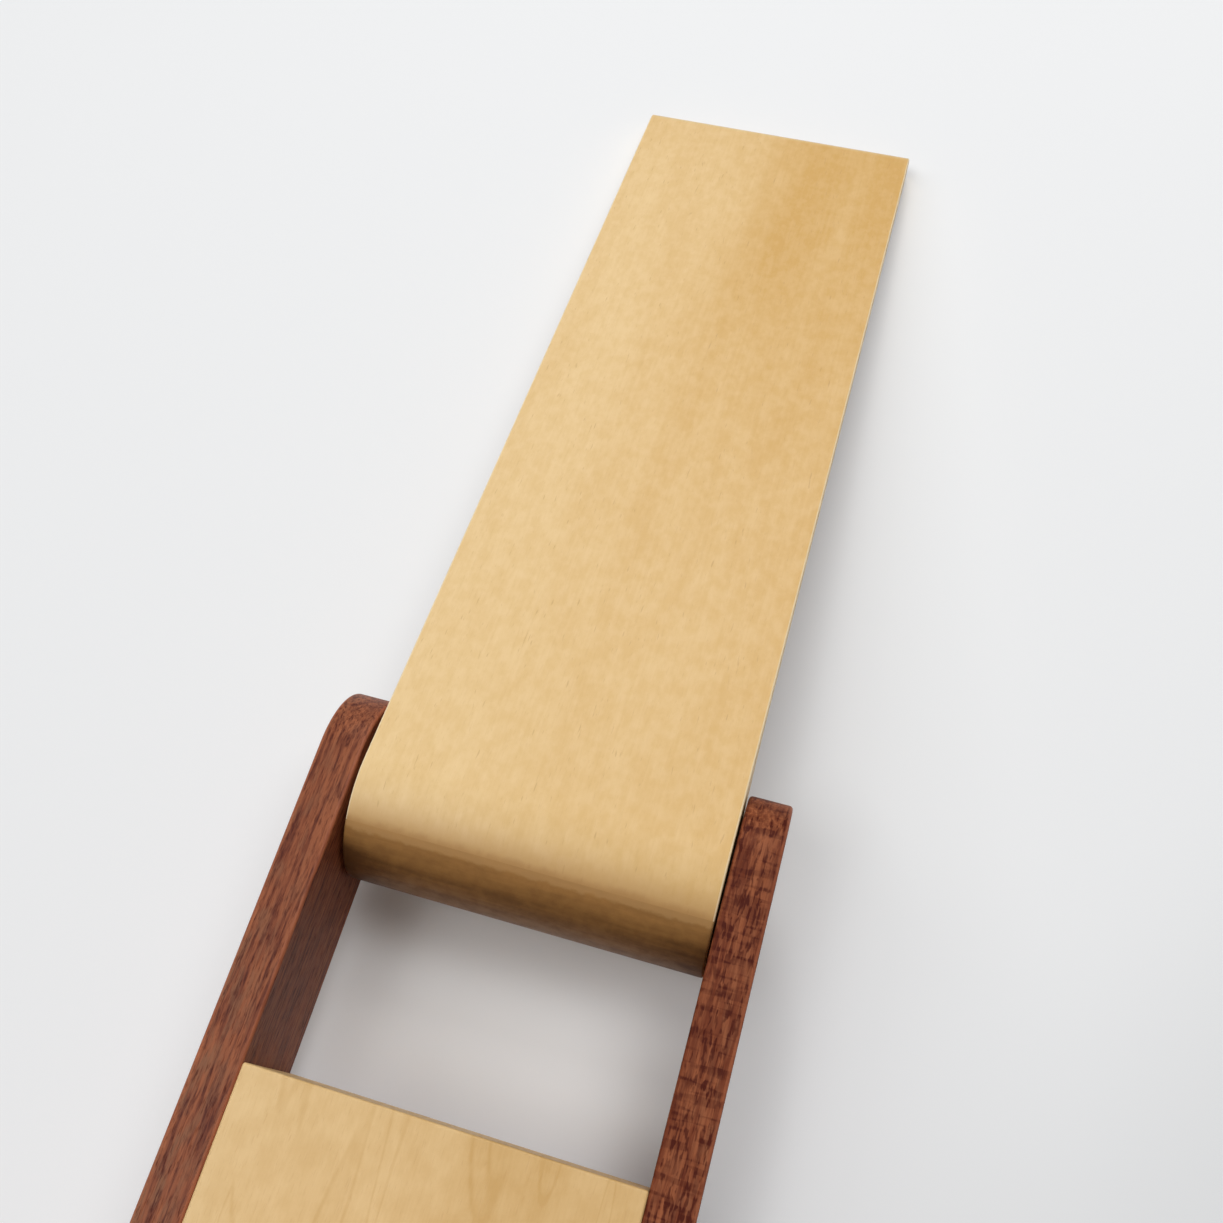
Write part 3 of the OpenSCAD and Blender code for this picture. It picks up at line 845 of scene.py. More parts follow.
def grown(tree, values):
    """The plain mesh that a tree makes with these values for its named inputs."""
    holder = linked("grown", bpy.data.meshes.new("grown"))
    modifier = holder.modifiers.new("grown", "NODES")
    modifier.node_group = tree
    for item in tree.interface.items_tree:
        if item.in_out == "INPUT":
            modifier[item.identifier] = values[item.name]
    return applied(holder)


def repeat_tree():
    """Copies a template on rows and columns of places."""
    flow, given = new_tree("Repeated Pieces", {
        "Template": "Object", "First Place": "Vector", "Columns": "Int", "Column Step": "Vector",
        "Rows": "Int", "Row Step": "Vector", "Finish": "Material",
    })
    columns = flow.node(
        "GeometryNodeMeshLine", {}, {"Count": given["Columns"], "Offset": given["Column Step"]},
    )
    rows = flow.node(
        "GeometryNodeMeshLine", {},
        {
            "Count": given["Rows"], "Start Location": given["First Place"],
            "Offset": given["Row Step"],
        },
    )
    lines = flow.node("GeometryNodeInstanceOnPoints", {}, {"Points": rows, "Instance": columns})
    places = flow.node("GeometryNodeRealizeInstances", {}, {"Geometry": lines})
    template = flow.node(
        "GeometryNodeObjectInfo", {}, {"Object": given["Template"]}, output="Geometry",
    )
    copies = flow.node("GeometryNodeInstanceOnPoints", {}, {"Points": places, "Instance": template})
    return close_tree(flow, copies, given["Finish"])


def repeated(mesh, material, first, columns, column_step, rows=1, row_step=(0, 0, 0)):
    """Copies of a small mesh made round the origin, at evenly spaced places."""
    template = linked("template", mesh)
    tree = bpy.data.node_groups.get("Repeated Pieces") or repeat_tree()
    made = grown(tree, {
        "Template": template, "First Place": first, "Columns": columns,
        "Column Step": column_step, "Rows": rows, "Row Step": row_step, "Finish": material,
    })
    bpy.data.objects.remove(template)
    return made


def winding_tree():
    """Winds a flat strip on itself in a spiral about the Z axis."""
    flow, given = new_tree("Wound Tape", {
        "Turns": "Float", "Steps": "Int", "Start Radius": "Float", "End Radius": "Float",
        "Ply": "Float", "Width": "Float", "Edge Rounding": "Float", "Turn": "Vector",
        "Centre": "Vector", "Finish": "Material",
    })
    spiral = flow.node("GeometryNodeCurveSpiral", {}, {
        "Resolution": given["Steps"], "Rotations": given["Turns"], "Height": 0.0,
        "Start Radius": given["Start Radius"], "End Radius": given["End Radius"],
    })
    upright = flow.node("GeometryNodeSetCurveNormal", {"mode": "Z_UP"}, {"Curve": spiral})
    strip = flow.node(
        "GeometryNodeCurvePrimitiveQuadrilateral", {},
        {"Width": given["Ply"], "Height": given["Width"]},
    )
    soft = flow.node(
        "GeometryNodeFilletCurve", {"mode": "POLY"},
        {"Curve": strip, "Count": 2, "Radius": given["Edge Rounding"]},
    )
    wound = flow.node(
        "GeometryNodeCurveToMesh", {},
        {"Curve": upright, "Profile Curve": soft, "Fill Caps": True},
    )
    laid = flow.node(
        "GeometryNodeTransform", {},
        {"Geometry": wound, "Rotation": given["Turn"], "Translation": given["Centre"]},
    )
    return close_tree(flow, laid, given["Finish"])


# ---- Rails ----


def side_on(a, b, level):
    """A side view's point: a along Y, b up and the level along X."""
    return (level, a, b)


def rail_outline(look):
    """Side view of a rail: round tips, and a slotted cheek that rises round the roll's axle."""
    half = (BAR_HIGH - BAR_LOW) / 2
    middle = (BAR_HIGH + BAR_LOW) / 2
    front, back = span("right_rail", 1)
    axle = (SPINDLE.y, SPINDLE.z)
    slot = AXLE_D / 2 + look.slot_play
    cheek = math.hypot(slot, span("right_rail", 2)[1] - SPINDLE.z)
    hollow = look.cheek_fillet
    rise = BAR_HIGH + hollow - SPINDLE.z
    reach = math.sqrt((cheek + hollow) ** 2 - rise**2)
    lean = math.degrees(math.atan2(rise, reach))
    lip = math.degrees(math.acos(slot / cheek))
    return [
        *arc((back - half, middle), half, -90, 90, 40),
        *arc((SPINDLE.y + reach, BAR_HIGH + hollow), hollow, -90, lean - 180, 24),
        *arc(axle, cheek, lean, lip, 20)[1:],
        *arc(axle, slot, 0, -180, 24),
        *arc(axle, cheek, 180 - lip, 180 - lean, 20),
        *arc((SPINDLE.y - reach, BAR_HIGH + hollow), hollow, -lean, -90, 24)[1:],
        *arc((front + half, middle), half, 90, 270, 48),
    ]


def rail_holes(side):
    """Blind holes for the pin, the dowels and the base screws in one rail."""
    inner = side * (INNER_X - PAST)
    pin_end = side * (span("pivot_pin", 0)[1] + PAST)
    holes = [cross_hole(inner, pin_end, PIN.y, PIN.z, PIN_D / 2)]
    for node in ("front_dowels", "rear_dowels"):
        low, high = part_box(node)
        for z in (low.z + DOWEL_D / 2, high.z - DOWEL_D / 2):
            end = side * (high.x + PAST)
            holes.append(cross_hole(inner, end, (low.y + high.y) / 2, z, DOWEL_D / 2 + FIT))
    x, shank = side * SCREW_X, SCREW_HEAD / 2 + FIT
    top = span("base_screws", 2)[1] + PAST
    for y in base_screw_places():
        holes.append(((x, y, BAR_LOW - PAST), (x, y, top), shank, shank))
    return holes


class DISPENSER_OT_rails(bpy.types.Operator):
    """Shape the two dark side rails with their round tips and slotted cheeks"""

    bl_idname = "dispenser.rails"
    bl_label = "Rails"

    def execute(self, context):
        look = context.scene.dispenser_rails
        for side, node, fleck in ((1, "right_rail", 0.0), (-1, "left_rail", 0.85)):
            low, high = sorted((side * INNER_X, side * OUTER_X))
            mesh = slab(rail_outline(look), low, high, look.arris, side_on)
            name = f"Rosewood {piece_name(node)}"
            wood = rosewood(name, look, 11.0 + 7 * side, fleck, 0.2 - fleck * 0.14)
            fitted(carved(mesh, borer(rail_holes(side))), node, "frame", wood)
        return {"FINISHED"}


# ---- Crossbars and dowels ----


def crossbar_holes(dowels):
    """Blind holes for the dowels in both ends of a crossbar."""
    low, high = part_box(dowels)
    y, radius = (low.y + high.y) / 2, DOWEL_D / 2 + FIT
    inside = INNER_X - DOWEL_DEEP - PAST
    return [
        cross_hole(side * (INNER_X + PAST), side * inside, y, z, radius)
        for side in (1, -1)
        for z in (low.z + DOWEL_D / 2, high.z - DOWEL_D / 2)
    ]


class DISPENSER_OT_crossbars(bpy.types.Operator):
    """Shape the two pale crossbars"""

    bl_idname = "dispenser.crossbars"
    bl_label = "Crossbars"

    def execute(self, context):
        look = context.scene.dispenser_pale
        for order, end in enumerate(("front", "rear")):
            node = f"{end}_crossbar"
            low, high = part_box(node)
            outline = rounded_box((low.y, low.z), (high.y, high.z), look.arris)
            mesh = slab(outline, low.x, high.x, look.arris, side_on)
            holes = crossbar_holes(f"{end}_dowels")
            if end == "front":
                holes += cutter_holes(FIT)
            wood = maple(f"Maple {piece_name(node)}", look, (0, 0, 0), 3.0 + 5 * order, shade=0.4)
            fitted(carved(mesh, borer(holes)), node, "frame", wood)
        return {"FINISHED"}


class DISPENSER_OT_dowels(bpy.types.Operator):
    """Set the beech dowels in the crossbars' ends"""

    bl_idname = "dispenser.dowels"
    bl_label = "Dowels"

    def execute(self, context):
        look = context.scene.dispenser_pale
        wood = maple("Beech Dowel", look, (0, 0, math.pi / 2), 21.0, figure=0.1)
        radius = DOWEL_D / 2
        for node in ("front_dowels", "rear_dowels"):
            low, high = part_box(node)
            long = high.x - (INNER_X - DOWEL_DEEP)
            profile = rod_profile(-long / 2, long / 2, radius, 0.4 * MM)
            peg = turned(profile, (0, 0, 0), X_AXIS, 32)
            mesh = repeated(
                peg, wood, (low.x + long / 2, (low.y + high.y) / 2, low.z + radius),
                2, (high.x - low.x - long, 0, 0), 2, (0, 0, high.z - low.z - DOWEL_D),
            )
            fitted(mesh, node, "frame", wood)
        return {"FINISHED"}


# ---- Tongue ----


def tongue_side(a, b, level):
    """A side view's point on the tongue: a behind the pin along the blade, b square to it."""
    back = a * math.cos(TILT) - b * math.sin(TILT)
    up = a * math.sin(TILT) + b * math.cos(TILT)
    return (level - SIDE_PLAY, PIN.y + back, PIN.z + up)


def tongue_shape():
    """Nose radius, blade thickness and length of the tongue, from its core's own points."""
    spots = []
    for vert in frame["nodes"]["tongue_core"].data.vertices:
        back, up = vert.co.y - PIN.y, vert.co.z - PIN.z
        along = back * math.cos(TILT) + up * math.sin(TILT)
        spots.append((along, up * math.cos(TILT) - back * math.sin(TILT)))
    nose = tenth(max(a for a, b in spots))
    far = tenth(-min(a for a, b in spots))
    under = tenth(min(b for a, b in spots if a < -far / 2))
    return nose, nose - under, far


def tongue_outlines(look):
    """The side view's three runs: the veneer's face, its glue line and the rest of the core.

    All run anticlockwise. The first two start on the nose and end at the far end. The last
    goes on from there round the underside, the hollow and the nose.
    """
    nose, thick, far = tongue_shape()
    wrap = 90 - math.degrees(look.wrap)
    under = nose - thick
    end = (look.end_round - far, nose - look.end_round)
    face = [*arc((0, 0), nose, wrap, 90, 24), *arc(end, look.end_round, 90, 180)]
    inner = look.end_round - look.veneer
    glued = [*arc((0, 0), nose - look.veneer, wrap, 90, 24), *arc(end, inner, 90, 180)]
    deep = look.hollow - under
    root = math.sqrt((nose + look.hollow) ** 2 - deep**2)
    lean = math.degrees(math.atan2(deep, root))
    rest = [
        (-far, end[1]),
        *arc((end[0], under + look.end_round), look.end_round, 180, 270),
        *arc((-root, -deep), look.hollow, 90, lean, 20),
        *arc((0, 0), nose, 180 + lean, 360 + wrap, 72)[1:],
    ]
    return face, glued, rest


def tongue_part(look, *runs):
    """A part of the tongue from runs of points, each with whether its edges are rounded."""
    outline = [point for points, _ in runs for point in points]
    soft = [rounded for points, rounded in runs for _ in points]
    return slab(outline, -TONGUE_HALF, TONGUE_HALF, look.arris, tongue_side, soft)


def tongue_bores():
    """The pin's way through the core, and the seats of its two bushes."""
    side_face = TONGUE_HALF + 0.5 * MM
    deep = span("right_bush", 0)[0]
    bush = size_of("left_bush", 2) / 2 + FIT
    through = cross_hole(-side_face, side_face, PIN.y, PIN.z, PIN_D / 2 + PIN_ROOM)
    seats = [
        cross_hole(side * side_face, side * deep - SIDE_PLAY, PIN.y, PIN.z, bush)
        for side in (1, -1)
    ]
    return borer([through]), borer(seats)


class DISPENSER_OT_tongue(bpy.types.Operator):
    """Shape the tongue: its core and the veneer that wraps over its nose"""

    bl_idname = "dispenser.tongue"
    bl_label = "Tongue"

    def execute(self, context):
        look = context.scene.dispenser_tongue
        face, glued, rest = tongue_outlines(look)
        run = sum(math.dist(a, b) for a, b in zip(face, face[1:]))
        wood = veneer("Honey Maple Veneer", look, run)
        mesh = tongue_part(look, (face, True), (glued[::-1], False))
        fitted(mesh, "tongue_face", "tongue", wood)
        wood = core_wood("Maple Core", look)
        mesh = carved(tongue_part(look, (glued, False), (rest, True)), *tongue_bores())
        fitted(mesh, "tongue_core", "tongue", wood)
        return {"FINISHED"}


# ---- Pivot ----


class DISPENSER_OT_pivot(bpy.types.Operator):
    """Turn the hinge pin, its brass bushes and its friction washers"""

    bl_idname = "dispenser.pivot"
    bl_label = "Pivot"

    def execute(self, context):
        steel = metal("Bright Steel", tint(196, 196, 198), 0.2, (6, 0.2, 0.2))
        brass = metal("Satin Brass", tint(214, 178, 112), 0.28, (6, 0.25, 0.25))
        nylon = moulded("Brown Nylon", tint(84, 62, 48), 0.55, 0.4)
        low, high = span("pivot_pin", 0)
        pin = round_joint(rod_profile(low, high, PIN_D / 2, 0.4 * MM), PIN, 48, closed=False)
        fitted(pin, "pivot_pin", "frame", steel)
        bore = PIN_D / 2 + RUNNING_FIT
        # The last pair says which of a ring's two ends follow the tongue's side play.
        rings = (
            ("left_bush", "tongue", "brass", brass, 0.3 * MM, (1, 1)),
            ("right_bush", "tongue", "brass", brass, 0.3 * MM, (1, 1)),
            ("left_washer", "frame", "nylon", nylon, 0.08 * MM, (0, 1)),
            ("right_washer", "frame", "nylon", nylon, 0.08 * MM, (1, 0)),
        )
        for node, body, slot, material, bevel, moved in rings:
            low, high = (end - SIDE_PLAY * share for end, share in zip(span(node, 0), moved))
            profile = ring_profile(low, high, size_of(node, 2) / 2, bore, bevel)
            fitted(round_joint(profile, PIN, 72), node, body, material)
        return {"FINISHED"}


# ---- Base ----


def plan_view(a, b, level):
    """A plan's point: a along X, b along Y and the level up."""
    return (a, b, level)


class DISPENSER_OT_base(bpy.types.Operator):
    """Shape the base board and the ballast plate in its pocket"""

    bl_idname = "dispenser.base"
    bl_label = "Base"

    def execute(self, context):
        look = context.scene.dispenser_base
        low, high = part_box("base_board")
        outline = rounded_box((low.x, low.y), (high.x, high.y), look.corner, 12)
        mesh = slab(outline, low.z, high.z, look.arris, plan_view)
        plate_low, plate_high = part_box("ballast_plate")
        gap = Vector((look.pocket_gap, look.pocket_gap, 0))
        pocket = block(plate_low - gap - Vector((0, 0, MM)), plate_high + gap)
        mesh = carved(mesh, pocket, borer(base_screw_holes(low.z, high.z)))
        wood = rosewood("Rosewood Base", context.scene.dispenser_rails, 31.0, 0.0)
        fitted(mesh, "base_board", "frame", wood)
        corners = (plate_low.x, plate_low.y), (plate_high.x, plate_high.y)
        outline = rounded_box(*corners, look.ballast_corner)
        plate = slab(outline, plate_low.z, plate_high.z, look.ballast_arris, plan_view, steps=2)
        fitted(plate, "ballast_plate", "frame", mill_steel("Mill Steel"))
        return {"FINISHED"}


def base_screw_places():
    """Front and back screw places on one side."""
    low, high = span("base_screws", 1)
    return low + SCREW_HEAD, high - SCREW_HEAD


def base_screw_holes(low, high):
    """Countersunk holes up through the base board."""
    shank, head = SCREW_HEAD / 2 + FIT, SCREW_HEAD + FIT
    cone = SCREW_HEAD * SCREW_CONE
    past = 0.01 * MM
    holes = []
    for x in (-SCREW_X, SCREW_X):
        for y in base_screw_places():
            holes.append(((x, y, low - past), (x, y, low + cone), head, shank))
            holes.append(((x, y, low + cone / 2), (x, y, high + MM), shank, shank))
    return holes


def base_screw():
    """One countersunk wood screw with a cross recess, its head face down at the origin."""
    head, crest, tall = SCREW_HEAD, SCREW_HEAD / 2, size_of("base_screws", 2)
    cone, neck, root, bevel = head * SCREW_CONE, crest * 0.9, crest * 0.72, 0.1 * MM
    first, threads = cone * 2.6, 7
    pitch = (tall - first - 2 * MM) / threads
    profile = [(0, 0), (0, head - bevel), (bevel, head), (cone, neck), (first, neck)]
    for turn in range(threads):
        start = first + turn * pitch
        profile += [(start + pitch * 0.35, root), (start + pitch * 0.8, crest)]
        profile += [(start + pitch, root)]
    profile += [(tall - 1.2 * MM, crest * 0.6), (tall, 0)]
    screw = turned(profile, (0, 0, 0), Z_AXIS, 32)
    arm, half, recess = head * 0.55, head * 0.15, head * 0.33
    sideways = block((-arm, -half, -MM), (arm, half, recess))
    lengthways = block((-half, -arm, -MM), (half, arm, recess))
    return carved(screw, sideways, lengthways)


class DISPENSER_OT_base_screws(bpy.types.Operator):
    """Drive the four countersunk screws through the base board into the rails"""

    bl_idname = "dispenser.base_screws"
    bl_label = "Base Screws"

    def execute(self, context):
        steel = metal("Screw Steel", tint(186, 186, 190), 0.24, (0.5, 0.5, 0.5))
        front, back = base_screw_places()
        mesh = repeated(
            base_screw(), steel, (-SCREW_X, front, span("base_screws", 2)[0]),
            2, (2 * SCREW_X, 0, 0), 2, (0, back - front, 0),
        )
        fitted(mesh, "base_screws", "frame", steel)
        return {"FINISHED"}


class DISPENSER_OT_feet(bpy.types.Operator):
    """Stick the four rubber feet under the base board"""

    bl_idname = "dispenser.feet"
    bl_label = "Feet"

    def execute(self, context):
        look = context.scene.dispenser_base
        low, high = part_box("rubber_feet")
        soft, radius, tall = look.foot_round, look.foot_radius, high.z - low.z
        ring, bevel = 0.15 * MM, 0.1 * MM
        profile = [(0, 0), (ring, radius * 0.45), (0, radius * 0.55)]
        profile += arc((soft, radius - soft), soft, 180, 90, 6)
        profile += [(tall - bevel, radius), (tall, radius - bevel), (tall, 0)]
        rubber = moulded("Black Rubber", tint(38, 38, 39), 0.62, 0.25)
        foot = turned(profile, (0, 0, 0), Z_AXIS, 48)
        mesh = repeated(
            foot, rubber, (low.x + radius, low.y + radius, low.z),
            2, (high.x - low.x - 2 * radius, 0, 0), 2, (0, high.y - low.y - 2 * radius, 0),
        )
        fitted(mesh, "rubber_feet", "frame", rubber)
        return {"FINISHED"}


# ---- Cutter ----


def cutter_screw_places():
    """X of the two clamp screws, their height, head radius and head height."""
    low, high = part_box("cutter_screws")
    head = (high.z - low.z) / 2
    return high.x - head, (low.z + high.z) / 2, head, high.y - span("cutter_clamp", 1)[1]


def cutter_holes(room):
    """Holes for the two clamp screws, from behind the clamp into the crossbar."""
    x, z, head, _ = cutter_screw_places()
    low, high = span("cutter_screws", 1)
    radius = head / HEAD_RATIO + room
    return [((side * x, high, z), (side * x, low - PAST, z), radius, radius) for side in (1, -1)]


def back_view(a, b, level):
    """A point seen from behind: a towards -X, b up and the level along +Y."""
    return (-a, level, b)


def blade_mesh(look):
    """Saw-tooth blade, its teeth ground to a thin edge on the crossbar's side."""
    low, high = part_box("cutter_blade")
    pitch = (high.x - low.x) / look.teeth
    root = high.z - look.tooth_h
    outline = [(low.x, low.z), (high.x, low.z), (high.x, root)]
    for i in range(look.teeth):
        right = high.x - i * pitch
        outline += [(right - pitch / 2, high.z), (right - pitch, root)]
    mesh = slab(outline, low.y, high.y, 0, back_view)
    thick = high.y - low.y
    ground = 0.8 * thick
    for vert in mesh.vertices:
        share = max(0.0, (vert.co.z - high.z + look.grind) / look.grind)
        if vert.co.y > low.y + thick / 2:
            vert.co.y -= share * ground
    return mesh


def clamp_screw():
    """One slotted cheese-head screw, its head's seat at the origin and its shank towards -Y."""
    _, _, head, tall = cutter_screw_places()
    low, high = span("cutter_screws", 1)
    shank = head / HEAD_RATIO
    long = high - low - tall
    soft, tip = tall * 0.35, 0.4 * MM
    profile = [(-long, 0), (-long, shank * 0.7), (-long + tip, shank), (0, shank), (0, head)]
    profile += arc((tall - soft, head - soft), soft, 90, 0, 5)
    profile += [(tall, 0)]
    screw = turned(profile, (0, 0, 0), Y_AXIS, 48)
    half = head * 0.14
    return carved(screw, block((-2 * head, tall * 0.45, -half), (2 * head, tall * 2, half)))


class DISPENSER_OT_cutter(bpy.types.Operator):
    """Make the saw-tooth blade, the brass bar that clamps it and their two screws"""

    bl_idname = "dispenser.cutter"
    bl_label = "Cutter"

    def execute(self, context):
        look = context.scene.dispenser_cutter
        steel = metal("Blade Steel", tint(206, 207, 210), 0.16, (0.25, 0.25, 5))
        brass = metal("Clamp Brass", tint(212, 176, 108), 0.24, (8, 0.2, 0.2))
        tool = borer(cutter_holes(0.1 * MM), 32)
        fitted(carved(blade_mesh(look), tool.copy()), "cutter_blade", "frame", steel)
        low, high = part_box("cutter_clamp")
        outline = rounded_box((-high.x, low.z), (-low.x, high.z), look.arris * 2)
        bar = slab(outline, low.y, high.y, look.arris, back_view)
        fitted(carved(bar, tool), "cutter_clamp", "frame", brass)
        x, z, _, _ = cutter_screw_places()
        screws = repeated(clamp_screw(), steel, (-x, high.y, z), 2, (2 * x, 0, 0))
        fitted(screws, "cutter_screws", "frame", steel)
        return {"FINISHED"}


# ---- Roll ----


class DISPENSER_OT_spindle(bpy.types.Operator):
    """Turn the steel axle and the wooden hub on it"""

    bl_idname = "dispenser.spindle"
    bl_label = "Spindle"

    def execute(self, context):
        steel = metal("Axle Steel", tint(200, 200, 203), 0.18, (6, 0.2, 0.2))
        low, high = span("spindle_axle", 0)
        radius = AXLE_D / 2
        dimple = [(0.5 * MM, 0), (0, 0.7 * MM)]
        profile = [(low + a, r) for a, r in dimple]
        profile += rod_profile(low, high, radius, 0.5 * MM)[1:-1]
        profile += [(high - a, r) for a, r in dimple[::-1]]
        axle = round_joint(profile, SPINDLE, 72, closed=False)
        fitted(axle, "spindle_axle", "frame", steel)
        pale = context.scene.dispenser_pale
        wood = maple("Turned Hub", pale, (0, 0, math.pi / 2), 41.0, figure=0.2)
        reach = span("roll_hub", 0)[1]
        bore, drum = radius + RUNNING_FIT, size_of("roll_hub", 2) / 2
        boss, soft = bore + context.scene.dispenser_roll.boss, 0.4 * MM
        half = [(TAPE_HALF - soft, drum), (TAPE_HALF, drum - soft), (TAPE_HALF, boss)]
        half += [(reach - soft, boss), (reach, boss - soft), (reach, bore)]
        profile = half + [(-a, r) for a, r in half[::-1]]
        fitted(round_joint(profile, SPINDLE, 96), "roll_hub", "roll", wood)
        return {"FINISHED"}


class DISPENSER_OT_tape(bpy.types.Operator):
    """Wind the kraft tape on its card core"""

    bl_idname = "dispenser.tape"
    bl_label = "Tape"

    def execute(self, context):
        look = context.scene.dispenser_roll
        outer = size_of("tape_core", 2) / 2
        bore = size_of("roll_hub", 2) / 2 + HUB_ROOM
        profile = ring_profile(-TAPE_HALF, TAPE_HALF, outer, bore, 0.15 * MM)
        core = round_joint(profile, SPINDLE, 96)
        fitted(core, "tape_core", "roll", card("Core Card", look))
        *_, thick = leader_frame()
        ply = tenth(thick)
        full = size_of("tape_roll", 2) / 2
        paper = kraft("Kraft Tape", look)
        mesh = grown(winding_tree(), {
            "Turns": (full - outer) / ply, "Steps": look.steps, "Start Radius": outer + ply / 2,
            "End Radius": full - ply / 2, "Ply": ply - look.ply_gap, "Width": 2 * TAPE_HALF,
            "Edge Rounding": ply * 0.3, "Turn": (math.pi / 2, 0, math.pi / 2),
            "Centre": (0, SPINDLE.y, SPINDLE.z), "Finish": paper,
        })
        fitted(mesh, "tape_roll", "roll", paper)
        return {"FINISHED"}


def leader_frame():
    """Start, direction and normal of the loose tape end, with its length and thickness."""
    data = frame["nodes"]["tape_leader"].data
    normal = max(data.polygons, key=lambda p: p.area * (p.normal.z > 0)).normal.copy()
    along = normal.cross(X_AXIS)
    along = along if along.z > 0 else -along
    runs = [v.co.dot(along) for v in data.vertices]
    levels = [v.co.dot(normal) for v in data.vertices]
    start = along * min(runs) + normal * min(levels)
    return start, along, normal, max(runs) - min(runs), max(levels) - min(levels)


class DISPENSER_OT_leader(bpy.types.Operator):
    """Lay the loose tape end from the roll down to the teeth"""

    bl_idname = "dispenser.leader"
    bl_label = "Tape End"

    def execute(self, context):
        teeth = context.scene.dispenser_cutter
        start, along, normal, long, thick = leader_frame()
        pitch = 2 * TAPE_HALF / teeth.teeth

        def from_side(a, b, level):
            return Vector((level, 0, 0)) + start + along * a + normal * b

        def from_above(a, b, level):
            return Vector((a, 0, 0)) + start + along * b + normal * level

        lead, edge = long - 7 * MM, 0.02 * MM  # from lead on, the end thins to this edge
        side = [(0, 0), (long, 0), (long, edge), (lead, thick), (0, thick)]
        strip = slab(side, -TAPE_HALF, TAPE_HALF, 0, from_side)
        past = MM
        wide = TAPE_HALF + past
        torn = [(-wide, -past), (wide, -past), (wide, 0), (TAPE_HALF, 0)]
        for i in range(teeth.teeth):
            right = TAPE_HALF - i * pitch
            torn += [(right - pitch / 2, teeth.zigzag), (right - pitch, 0)]
        torn += [(-wide, 0)]
        mesh = carved(strip, slab(torn, -past, past, 0, from_above))
        paper = kraft("Kraft End", context.scene.dispenser_roll)
        fitted(mesh, "tape_leader", "frame", paper)
        return {"FINISHED"}


# ---- Stage ----


def lamp(name, turn, rise, power, width=0.45):
    """A square soft lamp 1 m away, turned from +X and raised by the given degrees."""
    light = bpy.data.lights.new(name, "AREA")
    light.size = width
    light.energy = power
    made = linked(name, light)
    away = Vector(X_AXIS)
    away.rotate(Euler((0, -math.radians(rise), math.radians(turn))))
    made.location = away
    made.rotation_euler = away.to_track_quat("Z", "Y").to_euler()


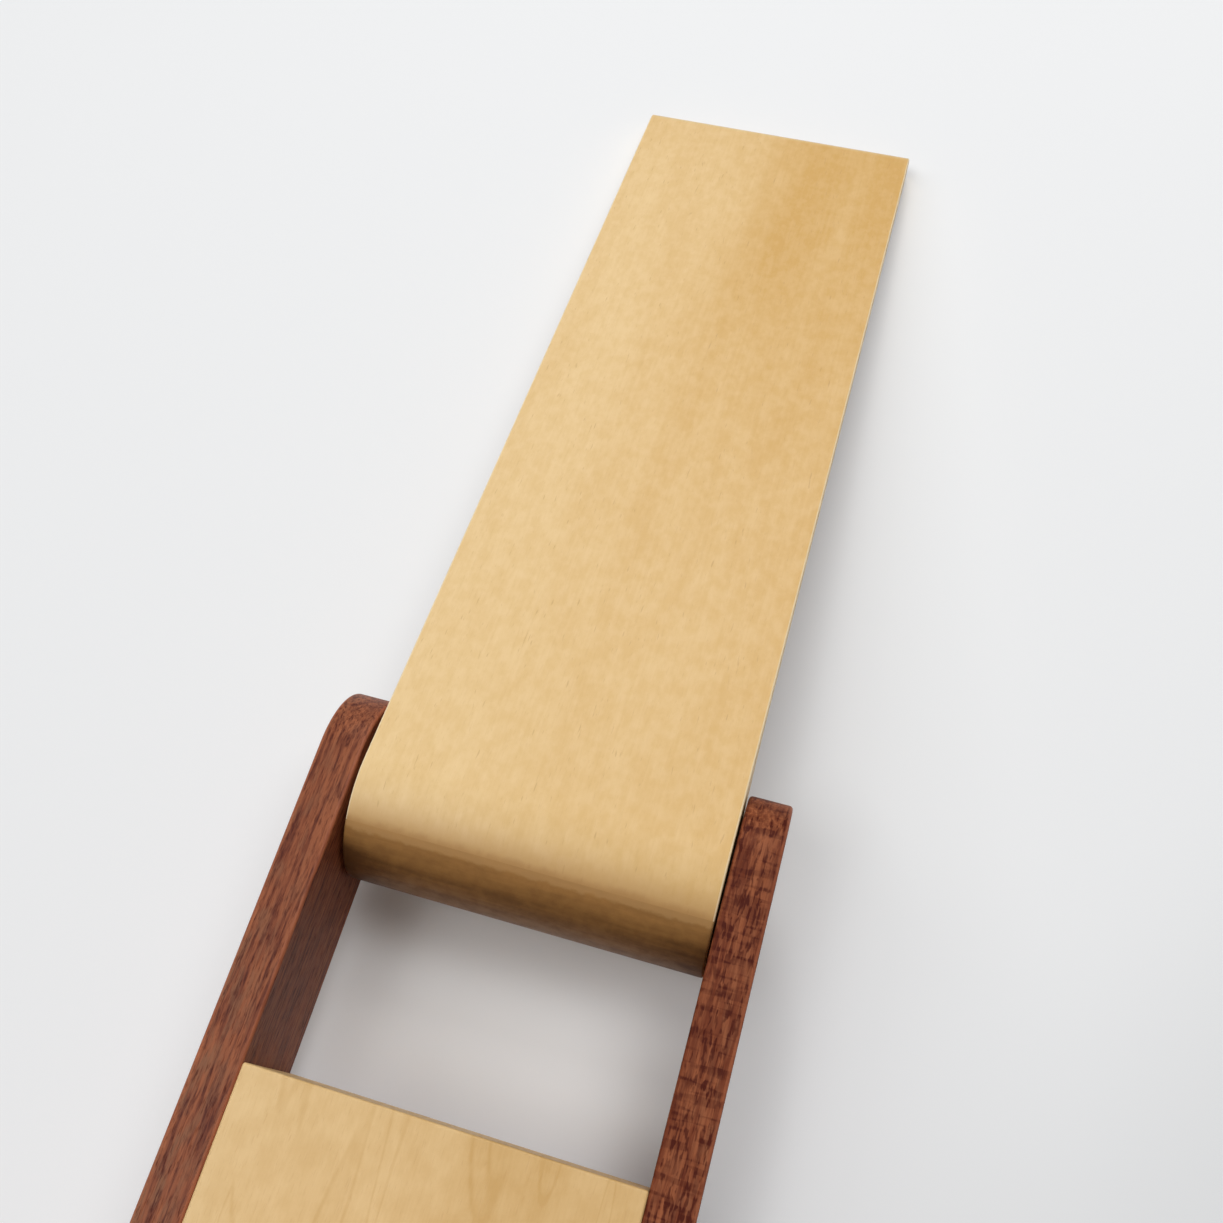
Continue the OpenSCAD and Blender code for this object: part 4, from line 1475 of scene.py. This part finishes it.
class DISPENSER_OT_stage(bpy.types.Operator):
    """Set the camera, the pale table top and the soft light"""

    bl_idname = "dispenser.stage"
    bl_label = "Stage"

    def execute(self, context):
        look = context.scene.dispenser_stage
        self.camera(context, look)
        self.floor(look)
        self.sky(context, look)
        lamp("Window", 270, 46, look.window)
        lamp("Corner Lamp", 225, 68, look.corner)
        lamp("Ceiling Lamp", 45, 68, look.ceiling)
        lamp("Side Lamp", 0, 46, look.side)
        context.scene.view_settings.view_transform = "Standard"
        return {"FINISHED"}

    def camera(self, context, look):
        """Places the camera, aims it and turns its right edge the way the settings say."""
        data = bpy.data.cameras.new("Camera")
        data.lens = look.lens
        data.sensor_width = 36
        data.clip_start = 5 * MM
        eye = linked("Camera", data)
        ahead = Vector(look.look).normalized()
        right = Vector(look.right)
        right = (right - ahead * right.dot(ahead)).normalized()
        up = right.cross(ahead)
        turn = Matrix((right, up, -ahead)).transposed()
        eye.matrix_world = Matrix.Translation(look.eye) @ turn.to_4x4()
        context.scene.camera = eye

    def floor(self, look):
        """The table top, with painted shade towards -X and +Y; it fades into the pale backdrop well
        away from the object.
        """
        made = bmesh.new()
        bmesh.ops.create_circle(made, cap_ends=True, segments=96, radius=4.0)
        even = {"Roughness": 1.0, "Specular IOR Level": 0.0, "Emission Strength": 1.0}
        table = Finish("Table Top", even)
        place = table.place()
        beside, back, _ = table.parts(place)
        # Painted shade: the table top darkens towards -X and +Y beside the object.
        painted_shade = (back * 0.6 - beside * 0.8).spread(45, 95)
        near = table.mix(painted_shade, look.floor, shaded(look.floor, 0.9))
        away = table.node(
            "ShaderNodeVectorMath", {"operation": "LENGTH"}, {0: place}, output="Value",
        )
        seen = table.node("ShaderNodeLightPath", output="Is Camera Ray")
        far = away.spread(190, 430) * seen
        table.feed("Base Color", table.mix(far, near, (0, 0, 0)))
        table.feed("Emission Color", table.mix(far, (0, 0, 0), look.floor))
        mesh = as_mesh(made)
        mesh.materials.append(table.material)
        linked("TableTop", mesh)

    def sky(self, context, look):
        """Even light from all round, whose look in the camera and in reflections is set apart."""
        world = bpy.data.worlds.new("Soft Room")
        world.use_nodes = True
        flow = Flow(world.node_tree)
        back = world.node_tree.nodes["Background"]
        seen = flow.node("ShaderNodeLightPath", output="Is Camera Ray")
        mirrored = flow.node("ShaderNodeLightPath", output="Is Glossy Ray")
        strength = seen * (1 - look.sky) + mirrored * look.gloss + look.sky
        tone = flow.mix(seen, (1, 1, 1), look.floor)
        world.node_tree.links.new(strength.out, back.inputs["Strength"])
        world.node_tree.links.new(tone.out, back.inputs["Color"])
        context.scene.world = world


class DISPENSER_PT_panel(bpy.types.Panel):
    """Lists every step of the dispenser's making"""

    bl_idname = "DISPENSER_PT_panel"
    bl_label = "Wooden Tape Dispenser"
    bl_space_type = "VIEW_3D"
    bl_region_type = "UI"
    bl_category = "Dispenser"

    def draw(self, context):
        for operator in OPERATORS:
            self.layout.operator(operator.bl_idname)
        for key, group in SETTINGS.items():
            box = self.layout.box()
            box.label(text=group.__doc__)
            for name in group.__annotations__:
                box.prop(getattr(context.scene, key), name)


OPERATORS = (
    DISPENSER_OT_stage,
    DISPENSER_OT_rails,
    DISPENSER_OT_crossbars,
    DISPENSER_OT_dowels,
    DISPENSER_OT_tongue,
    DISPENSER_OT_pivot,
    DISPENSER_OT_base,
    DISPENSER_OT_base_screws,
    DISPENSER_OT_feet,
    DISPENSER_OT_cutter,
    DISPENSER_OT_spindle,
    DISPENSER_OT_tape,
    DISPENSER_OT_leader,
)
CLASSES = (*SETTINGS.values(), *OPERATORS, DISPENSER_PT_panel)


def register():
    """Adds the operators and the panel, and puts the settings on the scene."""
    for item in CLASSES:
        bpy.utils.register_class(item)
    for key, group in SETTINGS.items():
        setattr(bpy.types.Scene, key, PointerProperty(type=group))


def unregister():
    """Takes away what register added."""
    for key in SETTINGS:
        delattr(bpy.types.Scene, key)
    for item in reversed(CLASSES):
        bpy.utils.unregister_class(item)


def main():
    """Makes every piece."""
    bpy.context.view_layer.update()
    register()
    for operator in OPERATORS:
        group, name = operator.bl_idname.split(".")
        getattr(getattr(bpy.ops, group), name)()


if __name__ == "__main__":
    main()
